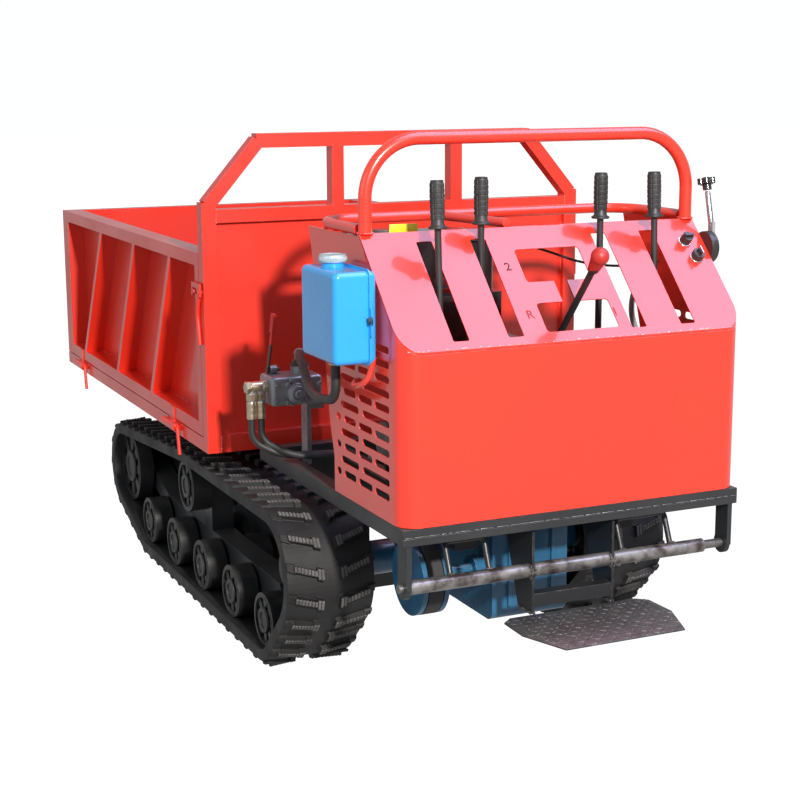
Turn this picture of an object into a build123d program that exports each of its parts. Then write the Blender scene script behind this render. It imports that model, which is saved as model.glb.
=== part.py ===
from build123d import *
import math
import os

# A walk-behind rubber-tracked power wheelbarrow, in millimetres.
# +Y points from the operator's end to the tipping bed, +X to the right as seen from the operator's
# end, +Z up. The origin is on the ground, under the middle of the machine's bounding box.

# ---- driving dimensions ----------------------------------------------------------------------
COVER_Y = -1213.0          # operator-side face of the engine cover
COVER_WIDTH = 900.0
COVER_CORNER = 50.0
COVER_SHEET = 3.0
COVER_BOTTOM = 534.0
CONSOLE_LOW = 930.0        # height of the cover's front fold
CONSOLE_DEPTH = 232.0
CONSOLE_RISE = 240.0
COVER_DEPTH = 545.0        # top of the side panels, front to back
SIDE_FOOT = 395.0          # bottom of the side panels, front to back
LOUVRE_PITCH = 33.5
LOUVRE_HEIGHT = 17.0
LOUVRE_ROWS = 11
LOUVRE_LOW = 591.0         # middle of the lowest row
LOUVRE_LONG_ROW = ((71.0, 222.0), (245.0, 350.0))
LOUVRE_SHORT_ROW = ((71.0, 151.0), (167.0, 245.0), (262.0, 332.0), (352.0, 378.0))
SLOT_WIDTH = 40.0          # lever slots, measured up the console from its front fold
SLOT_SPAN = (22.0, 304.0)
LEVER_X = {"clutch": -298.0, "left_steering": -160.0, "right_steering": 165.0, "brake": 300.0}
GATE_UPPER = (8.5, 218.5, 173.0, 97.0)     # middle across, middle up the console, width, height
GATE_LOWER = (17.5, 69.0, 191.0, 82.0)
GATE_LANE = (10.5, 140.0, 35.0, 120.0)
GATE_CORNER = 9.0
LIGHT_SWITCH = (396.0, 262.0)              # across, up the console
KEY_SWITCH = (408.0, 212.0)
SWITCH_SOCKET_R = 14.0
SWITCH_STEM_R = 8.0

RAIL_X = 215.0             # chassis rails, centre from the middle
RAIL_WIDTH = 60.0
RAIL_TOP = 500.0
RAIL_HEIGHT = 80.0
RAIL_LENGTH = 2300.0
WALL = 5.0                 # wall of the frame's tubes
BEAM_HEIGHT = 38.0
BEAM_DEPTH = 50.0

TRACK_X = 434.0            # middle of each rubber track
TRACK_WIDTH = 236.0
TRACK_THICK = 49.0
TRACK_GAP = 0.4            # between the wheels and the inside of the track
SPROCKET_Y = COVER_Y + 632.0
SPROCKET_Z = 273.0
SPROCKET_R = 135.5
SPROCKET_TEETH = 13
ROLLER_COUNT = 5
ROLLER_PITCH = 268.0
ROLLER_Y = COVER_Y + 694.0
ROLLER_R = 73.0
ROLLER_WIDTH = 202.0
CARRIER_Y = COVER_Y + 1354.0
CARRIER_Z = 332.0
CARRIER_R = 76.0
IDLER_Y = COVER_Y + 2013.0
IDLER_Z = 246.0
IDLER_R = 111.0
IDLER_WIDTH = 178.0
WHEEL_GROOVE = 84.0        # room for the guide horns and the track frame between two rims
AXLE_R = 15.0
RUN_FIT = 0.05             # radial clearance of every turning fit

BED_Y = COVER_Y + 1003.0   # operator-side face of the headboard
BED_LENGTH = 1619.0
BED_WIDTH = 1150.0
BED_BASE = 507.0
BED_BASE_HEIGHT = 38.0
BED_WALL_TOP = 1054.0
BED_WALL_THICK = 60.0
BED_WALL_GAP = 3.0
FRAME_TUBE = 40.0
HEADBOARD_TOP = 1370.0
HEADBOARD_SHOULDER = 1203.0
SHEET = 3.0
HINGE_R = 11.0
PIN_R = 5.0
GATE_HINGE_X = (-500.0, 400.0)
TIP_Y = COVER_Y + 2385.0
TIP_Z = 470.0
TIP_SHAFT_R = 12.5

LIFT_BASE_Y = COVER_Y + 1250.0
LIFT_BASE_Z = 300.0
LIFT_TOP_Y = COVER_Y + 2100.0
LIFT_TOP_Z = 478.0
LIFT_BARREL_R = 35.0
LIFT_ROD_R = 20.0
LIFT_BARREL_LENGTH = 640.0

STEP_Y = COVER_Y + 35.0
STEP_Z = 388.0
STEP_SHAFT_R = 11.0
STEP_TUBE_R = 17.0
STEP_ARM_X = 108.0
STEP_PLATE_Z = 281.0
STEP_PLATE_THICK = 5.0

LEVER_SHAFT_Y = COVER_Y + 165.0
LEVER_SHAFT_Z = 585.0
LEVER_SHAFT_R = 10.0
LEVER_ROD_R = 8.0
LEVER_TOP = 1292.0
GRIP_LENGTH = 108.0
GRIP_R = 15.0
GEAR_X = 15.0
GEAR_Y = COVER_Y + 215.0
GEAR_Z = 500.0

TUBE_R = 15.5              # handrail
RIM_TUBE_R = 13.0
HANDRAIL_TOP = 1382.0      # middle of the handrail's upper run
HANDRAIL_BEND = 135.0
RIM_BEND = 100.0
ENGINE_SHAFT_Y = COVER_Y + 400.0
ENGINE_SHAFT_Z = 640.0
ENGINE_PULLEY_R = 50.0
GEARBOX_SHAFT_Y = COVER_Y + 260.0
GEARBOX_SHAFT_Z = 333.0
GEARBOX_PULLEY_R = 92.0
PULLEY_X = -284.0
BELT_WIDTH = 38.0
BELT_THICK = 10.0
TANK_X = -508.0
TANK_Y = COVER_Y + 220.0
TANK_Z = 995.0
TANK_SIZE = (104.0, 204.0, 208.0)
PUMP_Y = COVER_Y + 725.0
PUMP_Z = 733.0
SUCTION_HOSE_R = 11.0
LIFT_HOSE_R = 9.0
THROTTLE_X = 470.0
THROTTLE_Y = COVER_Y + 178.0
THROTTLE_Z = 1103.0
THROTTLE_PIN_R = 6.0
PULLEY_SHAFT_R = 14.0
SPROCKET_SHAFT_R = 22.0
YOKE_PIN_R = 7.0

# ---- shared shapes ---------------------------------------------------------------------------


def block(x, y, z):
    """A box between two values on each axis."""
    low = Vector(x[0], y[0], z[0])
    high = Vector(x[1], y[1], z[1])
    size = high - low
    return Pos((low + high) * 0.5) * Box(size.X, size.Y, size.Z)


def rod(start, end, radius):
    """A round bar between two points."""
    run = Vector(*end) - Vector(*start)
    return extrude(Plane(origin=start, z_dir=run) * Circle(radius), run.length)


def ring(start, end, radius, bore):
    """A tube between two points."""
    run = Vector(*end) - Vector(*start)
    face = Plane(origin=start, z_dir=run) * (Circle(radius) - Circle(bore))
    return extrude(face, run.length)


def square_bar(start, end, width, depth=None):
    """A rectangular bar between two points, its width in the plane through X."""
    run = Vector(*end) - Vector(*start)
    side = Vector(1, 0, 0) if abs(run.X) < 0.5 * run.length else Vector(0, 1, 0)
    face = Plane(origin=start, x_dir=side - run * (side.dot(run) / run.length**2), z_dir=run)
    return extrude(face * Rectangle(width, depth or width), run.length)


def bent_tube(points, radius, bend):
    """A round tube along straight runs with one bend radius."""
    path = FilletPolyline(*points, radius=bend)
    return sweep(Plane(origin=path @ 0, z_dir=path % 0) * Circle(radius), path=path)


def hose(points, radius):
    """A hose along straight runs, each bend as large as its two runs allow."""
    spots = [Vector(*p) for p in points]
    pieces = []
    start = spots[0]
    for before, here, after in zip(spots, spots[1:], spots[2:]):
        into = (here - before).normalized()
        out = (after - here).normalized()
        turn = math.acos(max(-1.0, min(1.0, into.dot(out))))
        trim = 0.45 * min((here - before).length, (after - here).length)
        pieces.append(Line(start, here - into * trim))
        pieces.append(TangentArc(here - into * trim, here + out * trim, tangent=into))
        print("hose bend radius", round(trim / math.tan(turn / 2), 1))
        start = here + out * trim
    pieces.append(Line(start, spots[-1]))
    path = Wire(pieces)
    return sweep(Plane(origin=path @ 0, z_dir=path % 0) * Circle(radius), path=path)


def side_prism(points, x):
    """An outline in the Y-Z plane, extruded between two X values."""
    face = Plane(origin=(x[0], 0, 0), x_dir=(0, 1, 0), z_dir=(1, 0, 0)) * make_face(
        Polyline(*points, close=True))
    return extrude(face, x[1] - x[0])


def mirrored(shape):
    """The same shape on the other side of the machine."""
    return mirror(shape, about=Plane.YZ)


def both_sides(shape):
    return shape + mirrored(shape)


def at(y):
    """A Y value measured from the cover's operator-side face."""
    return COVER_Y + y


# ---- chassis ---------------------------------------------------------------------------------


def cross_tube_places():
    """The two cross tubes that carry the track frames, each between two rollers."""
    places = roller_places()
    return [(places[0] + places[1]) / 2, (places[-2] + places[-1]) / 2]


def chassis_frame():
    """The welded frame: two rails, operator-end beam, side rails, cross tubes, hangers, lugs."""
    rail_x = (RAIL_X - RAIL_WIDTH / 2, RAIL_X + RAIL_WIDTH / 2)
    rail_end = at(60.0) + RAIL_LENGTH
    beam_top = COVER_BOTTOM - 2
    beam_z = (beam_top - BEAM_HEIGHT, beam_top)
    half = COVER_WIDTH / 2 - 2
    frame = block((-half, half), (at(2), at(2) + BEAM_DEPTH), beam_z)
    rail_start = at(150)
    side = block(rail_x, (rail_start, rail_end), (RAIL_TOP - RAIL_HEIGHT, RAIL_TOP))
    side -= block((rail_x[0] + WALL, rail_x[1] - WALL), (rail_start + 10, rail_end - 60),
                  (RAIL_TOP - RAIL_HEIGHT + WALL, RAIL_TOP - WALL))
    side += block((half - BEAM_HEIGHT, half), (at(30), at(940)), beam_z)
    # the hanger that holds the step shaft
    side += block((half - 22, half - 10), (at(6), at(56)), (STEP_Z, beam_z[0] + 4))
    side += rod((half - 22, STEP_Y, STEP_Z), (half - 10, STEP_Y, STEP_Z), 25)
    # leg down to the track frame's cross tubes
    for y in cross_tube_places():
        side += block(rail_x, (y - 30, y + 30), (150, RAIL_TOP - RAIL_HEIGHT))
        side -= block((rail_x[0] + WALL, rail_x[1] - WALL), (y - 30 + WALL, y + 30 - WALL),
                      (186, RAIL_TOP - RAIL_HEIGHT))
    # lug for the bed's tipping shaft
    side += block((RAIL_X + 18, RAIL_X + 30), (rail_end - 60, TIP_Y + 26), (TIP_Z - 30, RAIL_TOP))
    frame += both_sides(side)
    for y in cross_tube_places():
        frame += block((-TRACK_X + 34, TRACK_X - 34), (y - 30, y + 30), (130, 190))
        frame -= block((-TRACK_X + 40, TRACK_X - 40), (y - 30 + WALL, y + 30 - WALL),
                       (130 + WALL, 190 - WALL))
    for y in (LEVER_SHAFT_Y - 27, at(925)):
        frame += block((-half + 10, half - 10), (y, y + 40), (RAIL_TOP - 10, beam_top - 8))
    frame += block((-half, half), (rail_end - 50, rail_end), (RAIL_TOP - 62, RAIL_TOP - 8))
    # clevis for the foot of the lift cylinder
    cross = LIFT_BASE_Y - 70
    frame += block((-RAIL_X, RAIL_X), (cross - 25, cross + 25), (LIFT_BASE_Z - 25, LIFT_BASE_Z + 25))
    for x in (-RAIL_X, RAIL_X):
        frame += block((x - 25, x + 25), (cross - 25, cross + 25), (LIFT_BASE_Z, RAIL_TOP - 40))
    for x in (-50, 38):
        frame += block((x, x + 12), (cross, LIFT_BASE_Y + 22), (LIFT_BASE_Z - 22, LIFT_BASE_Z + 22))
    for x, y, z, r in ((0, STEP_Y, STEP_Z, STEP_SHAFT_R), (0, TIP_Y, TIP_Z, TIP_SHAFT_R),
                       (0, LIFT_BASE_Y, LIFT_BASE_Z, AXLE_R)):
        frame -= rod((-half, y, z), (half, y, z), r)
    return frame


def pivot_shafts():
    """The fixed shafts: step, bed tipping, lever and lift-cylinder foot."""
    half = COVER_WIDTH / 2 - 2
    step = rod((-half + 2, STEP_Y, STEP_Z), (half - 2, STEP_Y, STEP_Z), STEP_SHAFT_R)
    tip = rod((-RAIL_X - 34, TIP_Y, TIP_Z), (RAIL_X + 34, TIP_Y, TIP_Z), TIP_SHAFT_R)
    foot = rod((-54, LIFT_BASE_Y, LIFT_BASE_Z), (54, LIFT_BASE_Y, LIFT_BASE_Z), AXLE_R)
    lever = rod((-370, LEVER_SHAFT_Y, LEVER_SHAFT_Z), (370, LEVER_SHAFT_Y, LEVER_SHAFT_Z), LEVER_SHAFT_R)
    for x in (-380, 370):
        lever += block((x, x + 10), (LEVER_SHAFT_Y - 20, LEVER_SHAFT_Y + 12),
                       (COVER_BOTTOM - 10, LEVER_SHAFT_Z + 20))
    return Compound([step, tip, foot, lever])


# ---- tracks ----------------------------------------------------------------------------------


def roller_places():
    return [ROLLER_Y + ROLLER_PITCH * i for i in range(ROLLER_COUNT)]


def roller_height():
    return TRACK_THICK + ROLLER_R


def track_outline(grow):
    """The track's closed outline round its wheels, a set distance outside them."""
    places = [(SPROCKET_Y, SPROCKET_Z, SPROCKET_R), (IDLER_Y, IDLER_Z, IDLER_R),
              (CARRIER_Y, CARRIER_Z, CARRIER_R)]
    places += [(y, roller_height(), ROLLER_R) for y in (roller_places()[0], roller_places()[-1])]
    circles = [Pos(y, z) * Edge.make_circle(r + grow) for y, z, r in places]
    return make_hull(ShapeList(circles))


def track_belt():
    """One endless rubber track, plain, at its full thickness."""
    side = Plane(origin=(-TRACK_X - TRACK_WIDTH / 2, 0, 0), x_dir=(0, 1, 0), z_dir=(1, 0, 0))
    band = track_outline(TRACK_THICK) - track_outline(TRACK_GAP)
    return extrude(side * band, TRACK_WIDTH)


def wheel(y, z, radius, width, hub, recess_depth=14.0):
    """A double wheel on its axle: two rims with a groove between, and dished outer faces."""
    left = -TRACK_X - width / 2
    right = -TRACK_X + width / 2
    groove = (-TRACK_X - WHEEL_GROOVE / 2, -TRACK_X + WHEEL_GROOVE / 2)
    body = rod((left, y, z), (groove[0], y, z), radius) + rod((groove[1], y, z), (right, y, z), radius)
    body += rod((left, y, z), (right, y, z), AXLE_R)
    dish = ring((left, y, z), (left + recess_depth, y, z), radius - 12, hub)
    dish += ring((right - recess_depth, y, z), (right, y, z), radius - 12, hub)
    return body - dish


def sprocket():
    """The drive sprocket: a toothed disc between the guide horns, its hub and its shaft."""
    disc = rod((-TRACK_X - 14, SPROCKET_Y, SPROCKET_Z), (-TRACK_X + 14, SPROCKET_Y, SPROCKET_Z), SPROCKET_R)
    notch = 17.0
    for i in range(SPROCKET_TEETH):
        angle = 2 * math.pi * (i + 0.5) / SPROCKET_TEETH
        y = SPROCKET_Y + SPROCKET_R * math.cos(angle)
        z = SPROCKET_Z + SPROCKET_R * math.sin(angle)
        disc -= rod((-TRACK_X - 15, y, z), (-TRACK_X + 15, y, z), notch)
    disc += rod((-TRACK_X - 62, SPROCKET_Y, SPROCKET_Z), (-TRACK_X + 74, SPROCKET_Y, SPROCKET_Z), 44)
    disc += rod((-TRACK_X + 74, SPROCKET_Y, SPROCKET_Z), (-220, SPROCKET_Y, SPROCKET_Z),
                SPROCKET_SHAFT_R)
    return disc


def track_frame():
    """The beam between the two rims of the rollers, with the carrier post and the idler fork."""
    half = WHEEL_GROOVE / 2 - 8
    x = (-TRACK_X - half, -TRACK_X + half)
    z = roller_height()
    first = roller_places()[0] - 70
    last = roller_places()[-1] + 70
    beam = block(x, (first, last), (z - 22, z + 74))
    beam += block(x, (CARRIER_Y - 35, CARRIER_Y + 35), (z + 60, CARRIER_Z + 26))
    beam += side_prism([(last - 80, z + 20), (IDLER_Y + 30, IDLER_Z - 26), (IDLER_Y + 30, IDLER_Z + 26),
                        (last - 80, z + 74)], x)
    beam -= rod((x[0] - 1, SPROCKET_Y, SPROCKET_Z), (x[1] + 1, SPROCKET_Y, SPROCKET_Z), SPROCKET_R + 5)
    for y in roller_places():
        beam -= rod((x[0] - 1, y, z), (x[1] + 1, y, z), AXLE_R + RUN_FIT)
    beam -= rod((x[0] - 1, CARRIER_Y, CARRIER_Z), (x[1] + 1, CARRIER_Y, CARRIER_Z), AXLE_R + RUN_FIT)
    beam -= rod((x[0] - 1, IDLER_Y, IDLER_Z), (x[1] + 1, IDLER_Y, IDLER_Z), AXLE_R + RUN_FIT)
    return beam


# ---- engine cover ----------------------------------------------------------------------------


def cover_column(inset):
    """A solid column with the cover's rounded plan, moved in by a distance."""
    depth = 2 * COVER_DEPTH
    plan = RectangleRounded(COVER_WIDTH - 2 * inset, depth - 2 * inset, COVER_CORNER - inset)
    column = extrude(Pos(0, COVER_Y + COVER_DEPTH, COVER_BOTTOM) * plan, 700)
    return column & block((-500, 500), (COVER_Y, COVER_Y + COVER_DEPTH), (COVER_BOTTOM, 1200))


def cover_profile():
    """The side view of the cover."""
    top = CONSOLE_LOW + CONSOLE_RISE
    return [(at(0), COVER_BOTTOM), (at(SIDE_FOOT), COVER_BOTTOM), (at(SIDE_FOOT), 620), (at(420), 700),
            (at(448), 866), (at(COVER_DEPTH), top - 6), (at(CONSOLE_DEPTH + 3), top - 6),
            (at(0), CONSOLE_LOW - COVER_SHEET * 2)]


def hood_shell():
    """The cover's front and louvred sides, one folded sheet."""
    shell = cover_column(0) - cover_column(COVER_SHEET)
    shell &= side_prism(cover_profile(), (-500, 500))
    slots = []
    side = Plane(origin=(0, COVER_Y, LOUVRE_LOW), x_dir=(0, 1, 0), z_dir=(1, 0, 0))
    for row in range(LOUVRE_ROWS):
        for low, high in LOUVRE_LONG_ROW if row % 2 else LOUVRE_SHORT_ROW:
            slot = Pos((low + high) / 2, row * LOUVRE_PITCH) * SlotOverall(high - low, LOUVRE_HEIGHT)
            slots.append(extrude(side * slot, COVER_WIDTH / 2 + 5, both=True))
    return shell - slots


def console_plane():
    return Plane(origin=(0, COVER_Y, CONSOLE_LOW), x_dir=(1, 0, 0), z_dir=(0, -CONSOLE_RISE, CONSOLE_DEPTH))


def console_panel():
    """The sloping control panel with the lever slots and the gear gate."""
    top = CONSOLE_LOW + CONSOLE_RISE
    drop = COVER_SHEET * math.hypot(CONSOLE_DEPTH, CONSOLE_RISE) / CONSOLE_DEPTH
    outline = [(at(0), CONSOLE_LOW), (at(CONSOLE_DEPTH), top), (at(CONSOLE_DEPTH + 12), top),
               (at(CONSOLE_DEPTH + 12), top - COVER_SHEET), (at(CONSOLE_DEPTH) + 1, top - COVER_SHEET),
               (at(0), CONSOLE_LOW - drop)]
    panel = side_prism(outline, (-500, 500)) & cover_column(0)
    face = console_plane()
    length = SLOT_SPAN[1] - SLOT_SPAN[0]
    middle = sum(SLOT_SPAN) / 2
    cuts = [Pos(x, middle) * RectangleRounded(SLOT_WIDTH, length, 5) for x in LEVER_X.values()]
    for x, up, wide, high in (GATE_UPPER, GATE_LOWER):
        cuts.append(Pos(x, up) * RectangleRounded(wide, high, GATE_CORNER))
    cuts.append(Pos(GATE_LANE[0], GATE_LANE[1]) * Rectangle(GATE_LANE[2], GATE_LANE[3]))
    for cut in cuts:
        panel -= extrude(face * cut, 30, both=True)
    return panel


def hood_rails():
    """The handrail over the console, the rim tube round the cover's opening and its brace."""
    top = CONSOLE_LOW + CONSOLE_RISE
    foot_x = COVER_WIDTH / 2 - 17
    y = at(237)
    foot_z = top + 0.2
    rail = bent_tube([(-foot_x, y, foot_z), (-foot_x, y, HANDRAIL_TOP), (foot_x, y, HANDRAIL_TOP),
                      (foot_x, y, foot_z)], TUBE_R, HANDRAIL_BEND)
    rim_x = COVER_WIDTH / 2 - RIM_TUBE_R
    z = top - 6 + RIM_TUBE_R + 0.3
    back = at(COVER_DEPTH - RIM_TUBE_R)
    rim = bent_tube([(-rim_x, at(262), z), (-rim_x, back, z), (rim_x, back, z), (rim_x, at(262), z)],
                    RIM_TUBE_R, RIM_BEND)
    rim += rod((-110, back, z), (-60, at(252), z), RIM_TUBE_R - 1.5)
    return Compound([rail, rim])


def control_mounts():
    """The two switch sockets on the console and the throttle quadrant on the cover's side."""
    face = console_plane()
    socket = Circle(SWITCH_SOCKET_R) - Circle(SWITCH_STEM_R + RUN_FIT)
    light = extrude(face * Pos(*LIGHT_SWITCH) * socket, 9)
    key = extrude(face * Pos(*KEY_SWITCH) * socket, 9)
    quadrant = ring((COVER_WIDTH / 2, THROTTLE_Y, THROTTLE_Z), (THROTTLE_X, THROTTLE_Y, THROTTLE_Z),
                    39, THROTTLE_PIN_R + RUN_FIT)
    return Compound([light, key, quadrant])


# ---- power train -----------------------------------------------------------------------------


def engine_block():
    """Crankcase with the finned cylinder on its base plate, and the muffler beside it."""
    y = (at(310), at(530))
    case = block((-235, 110), y, (RAIL_TOP + 60, 770))
    case += block((-RAIL_X - 25, RAIL_X + 25), y, (RAIL_TOP, RAIL_TOP + 12))
    for x in (-185, 60):
        case += block((x, x + 40), y, (RAIL_TOP + 12, RAIL_TOP + 60))
    case += block((-200, -70), (at(345), at(480)), (770, 850))
    for i in range(4):
        case += block((-215, -58), (at(325), at(497)), (784 + 17 * i, 791 + 17 * i))
    case -= rod((-236, ENGINE_SHAFT_Y, ENGINE_SHAFT_Z), (-124, ENGINE_SHAFT_Y, ENGINE_SHAFT_Z),
                PULLEY_SHAFT_R + RUN_FIT)
    muffler = rod((75, at(335), 830), (75, at(505), 830), 38)
    muffler += rod((50, at(420), 830), (-44.7, at(420), 830), 12)
    muffler += block((60, 90), (at(400), at(440)), (770, 800))
    return Compound([case, muffler])


def engine_shroud():
    """The black fan housing round the cylinder."""
    housing = block((-230, -45), (at(305), at(515)), (770, 1008))
    return housing - block((-222, -53), (at(313), at(507)), (769, 1000))


def fuel_tank():
    """The flat fuel tank on top of the engine, with its filler."""
    tank = block((-402, -55), (at(310), at(528)), (1008, 1146))
    tank = fillet(tank.edges().filter_by(Axis.Z), 30)
    return tank + rod((-300, at(430), 1146), (-300, at(430), 1158), 28)


def pulley(x, y, z, radius, shaft_end):
    """A flat-grooved pulley with two flanges on its own shaft."""
    wide = BELT_WIDTH + 6
    body = rod((x - wide / 2, y, z), (x + wide / 2, y, z), radius - BELT_THICK)
    for side in (-wide / 2 - 12, wide / 2):
        body += rod((x + side, y, z), (x + side + 12, y, z), radius)
    return body + rod((x, y, z), (shaft_end, y, z), PULLEY_SHAFT_R)


def drive_belt():
    """The belt band from the engine's pulley down to the gearbox's."""
    def loop(grow):
        ends = [(ENGINE_SHAFT_Y, ENGINE_SHAFT_Z, ENGINE_PULLEY_R - BELT_THICK),
                (GEARBOX_SHAFT_Y, GEARBOX_SHAFT_Z, GEARBOX_PULLEY_R - BELT_THICK)]
        return make_hull(ShapeList([Pos(y, z) * Edge.make_circle(r + grow) for y, z, r in ends]))
    side = Plane(origin=(PULLEY_X - BELT_WIDTH / 2, 0, 0), x_dir=(0, 1, 0), z_dir=(1, 0, 0))
    return extrude(side * (loop(0.3 + BELT_THICK) - loop(0.3)), BELT_WIDTH)


def gearbox():
    """The transmission case with its ribs, input boss and the two axle tubes."""
    case = block((-105, 105), (at(228), at(700)), (200, 462))
    case = fillet(case.edges().filter_by(Axis.X), 26)
    for x in (-60, 0, 60):
        case += block((x - 4, x + 4), (at(219), at(240)), (235, 440))
    case += rod((-150, GEARBOX_SHAFT_Y, GEARBOX_SHAFT_Z), (0, GEARBOX_SHAFT_Y, GEARBOX_SHAFT_Z), 34)
    case += rod((-345, SPROCKET_Y, SPROCKET_Z), (345, SPROCKET_Y, SPROCKET_Z), 45)
    case += block((-70, 70), (at(430), at(560)), (440, RAIL_TOP - 0.3))
    case -= rod((-151, GEARBOX_SHAFT_Y, GEARBOX_SHAFT_Z), (-40, GEARBOX_SHAFT_Y, GEARBOX_SHAFT_Z),
                PULLEY_SHAFT_R + RUN_FIT)
    for side in (-1, 1):
        case -= rod((side * 346, SPROCKET_Y, SPROCKET_Z), (side * 219, SPROCKET_Y, SPROCKET_Z),
                    SPROCKET_SHAFT_R + RUN_FIT)
    # ears that hold the gear lever's yoke
    for x in (-1, 1):
        ear = block((GEAR_X + x * 30 - 6, GEAR_X + x * 30 + 6), (GEAR_Y - 14, GEAR_Y + 60),
                    (440, GEAR_Z + 14))
        case += ear - rod((GEAR_X - 40, GEAR_Y, GEAR_Z), (GEAR_X + 40, GEAR_Y, GEAR_Z), YOKE_PIN_R + RUN_FIT)
    return case


# ---- controls --------------------------------------------------------------------------------


def hand_lever(x, foot_y, top_y):
    """A shift lever: hub on the shaft, flat link, rod, and a rubber grip with its flange."""
    low = LEVER_SHAFT_Z + 65
    hub = ring((x - 12, LEVER_SHAFT_Y, LEVER_SHAFT_Z), (x + 12, LEVER_SHAFT_Y, LEVER_SHAFT_Z), 19,
               LEVER_SHAFT_R + RUN_FIT)
    foot = at(foot_y)
    middle = (LEVER_SHAFT_Y + foot) / 2
    reach = abs(LEVER_SHAFT_Y - foot) / 2 + 10
    link = block((x - 4, x + 4), (middle - reach, middle + reach), (low - 16, low))
    link += block((x - 4, x + 4), (LEVER_SHAFT_Y - 10, LEVER_SHAFT_Y + 10), (LEVER_SHAFT_Z + 12, low))
    top = at(top_y)
    lean = (top - foot) / (LEVER_TOP - low)
    seat = LEVER_TOP - GRIP_LENGTH
    stem = rod((x, foot, low - 8), (x, foot + lean * (seat - low), seat), LEVER_ROD_R)
    grip = rod((x, foot + lean * (seat - low), seat), (x, top, LEVER_TOP), GRIP_R)
    grip += rod((x, foot + lean * (seat - low), seat), (x, foot + lean * (seat + 5 - low), seat + 5), 21)
    return Compound([hub + link + stem, grip])


def gear_yoke():
    """The small cross block that lets the gear lever swing both ways."""
    core = block((GEAR_X - 16, GEAR_X + 16), (GEAR_Y - 13, GEAR_Y + 13), (GEAR_Z - 12, GEAR_Z + 12))
    core += rod((GEAR_X - 36, GEAR_Y, GEAR_Z), (GEAR_X + 36, GEAR_Y, GEAR_Z), YOKE_PIN_R)
    return core + rod((GEAR_X, GEAR_Y - 32, GEAR_Z), (GEAR_X, GEAR_Y + 13, GEAR_Z), 6)


def gear_lever():
    """The bent gear lever: hub, rod up through the gate, and its ball knob."""
    hub = ring((GEAR_X, GEAR_Y - 29, GEAR_Z), (GEAR_X, GEAR_Y - 17, GEAR_Z), 14, 6 + RUN_FIT)
    bend = (GEAR_X, at(190), 850)
    knob_base = Vector(GEAR_X, at(-18), 1091)
    top = Vector(GEAR_X, at(-58), 1137)
    foot = (GEAR_X, GEAR_Y - 23, GEAR_Z + 12)
    stem = rod(foot, bend, LEVER_ROD_R) + Pos(bend) * Sphere(LEVER_ROD_R)
    stem += rod(bend, tuple(knob_base), LEVER_ROD_R)
    line = (top - knob_base).normalized()
    length = (top - knob_base).length
    knob = extrude(Plane(origin=knob_base, z_dir=line) * Circle(13), length * 0.6, taper=-9)
    knob += Pos(*(knob_base + line * length * 0.72)) * Sphere(21)
    return Compound([hub + stem, knob])


def light_switch_knob():
    """The rotary light switch's knob with its stem."""
    face = console_plane()
    spot = face * Pos(*LIGHT_SWITCH)
    knob = extrude(spot * Circle(SWITCH_STEM_R), 12)
    knob += extrude(spot * Pos(0, 0, 9.4) * Circle(SWITCH_SOCKET_R), 14)
    return knob + extrude(spot * Pos(0, 0, 23.4) * Rectangle(26, 7), 8)


def ignition_key():
    """The key in its barrel."""
    face = console_plane()
    spot = face * Pos(*KEY_SWITCH)
    key = extrude(spot * Circle(SWITCH_STEM_R), 14)
    return key + extrude(spot * Pos(0, 0, 14) * Rectangle(3, 22), 20)


def throttle_lever():
    """The hand throttle: boss on the quadrant, clevis, bright rod and star knob."""
    out = THROTTLE_X + 0.5
    boss = rod((out, THROTTLE_Y, THROTTLE_Z), (out + 8, THROTTLE_Y, THROTTLE_Z), 22)
    boss += rod((THROTTLE_X - 18, THROTTLE_Y, THROTTLE_Z), (out + 4, THROTTLE_Y, THROTTLE_Z),
                THROTTLE_PIN_R)
    x = out + 4
    clevis = block((x - 4, x + 4), (THROTTLE_Y - 7, THROTTLE_Y + 12), (THROTTLE_Z + 12, THROTTLE_Z + 62))
    stem = rod((x, THROTTLE_Y + 4, THROTTLE_Z + 50), (x, THROTTLE_Y + 26, THROTTLE_Z + 138), 5)
    base = Vector(x, THROTTLE_Y + 26, THROTTLE_Z + 138)
    line = Vector(0, 22, 88).normalized()
    star = Circle(15)
    for i in range(5):
        star += Pos(15 * math.cos(2 * math.pi * i / 5), 15 * math.sin(2 * math.pi * i / 5)) * Circle(7.5)
    knob = extrude(Plane(origin=base, z_dir=line) * Circle(11), 14)
    knob += extrude(Plane(origin=base + line * 14, z_dir=line) * star, 15)
    return Compound([boss + clevis + stem, knob])


# ---- hydraulics ------------------------------------------------------------------------------


def oil_tank():
    """The oil tank with its filler neck, outlet, seam flange, bolt tab and red bracket."""
    wide, deep, tall = TANK_SIZE
    tank = Pos(TANK_X, TANK_Y, TANK_Z) * Box(wide, deep, tall)
    tank = fillet(tank.edges(), 14)
    seam = TANK_X + wide / 2 - 22
    flange = extrude(Plane(origin=(seam, TANK_Y, TANK_Z), x_dir=(0, 1, 0), z_dir=(1, 0, 0))
                     * RectangleRounded(deep + 14, tall + 10, 18), 4)
    tab = block((seam, seam + 4), (TANK_Y - deep / 2 - 16, TANK_Y), (TANK_Z - 40, TANK_Z + 24))
    top = TANK_Z + tall / 2
    neck = rod((TANK_X, TANK_Y + 30, top - 2), (TANK_X, TANK_Y + 30, top + 10), 26)
    bottom = TANK_Z - tall / 2
    outlet = rod((TANK_X, TANK_Y + 20, bottom + 2), (TANK_X, TANK_Y + 20, bottom - 16), 12)
    bracket = block((TANK_X + wide / 2 + 0.3, -COVER_WIDTH / 2), (TANK_Y - 60, TANK_Y + 60),
                    (TANK_Z - 70, TANK_Z + 70))
    return Compound([tank + flange + tab + neck + outlet, bracket])


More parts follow.
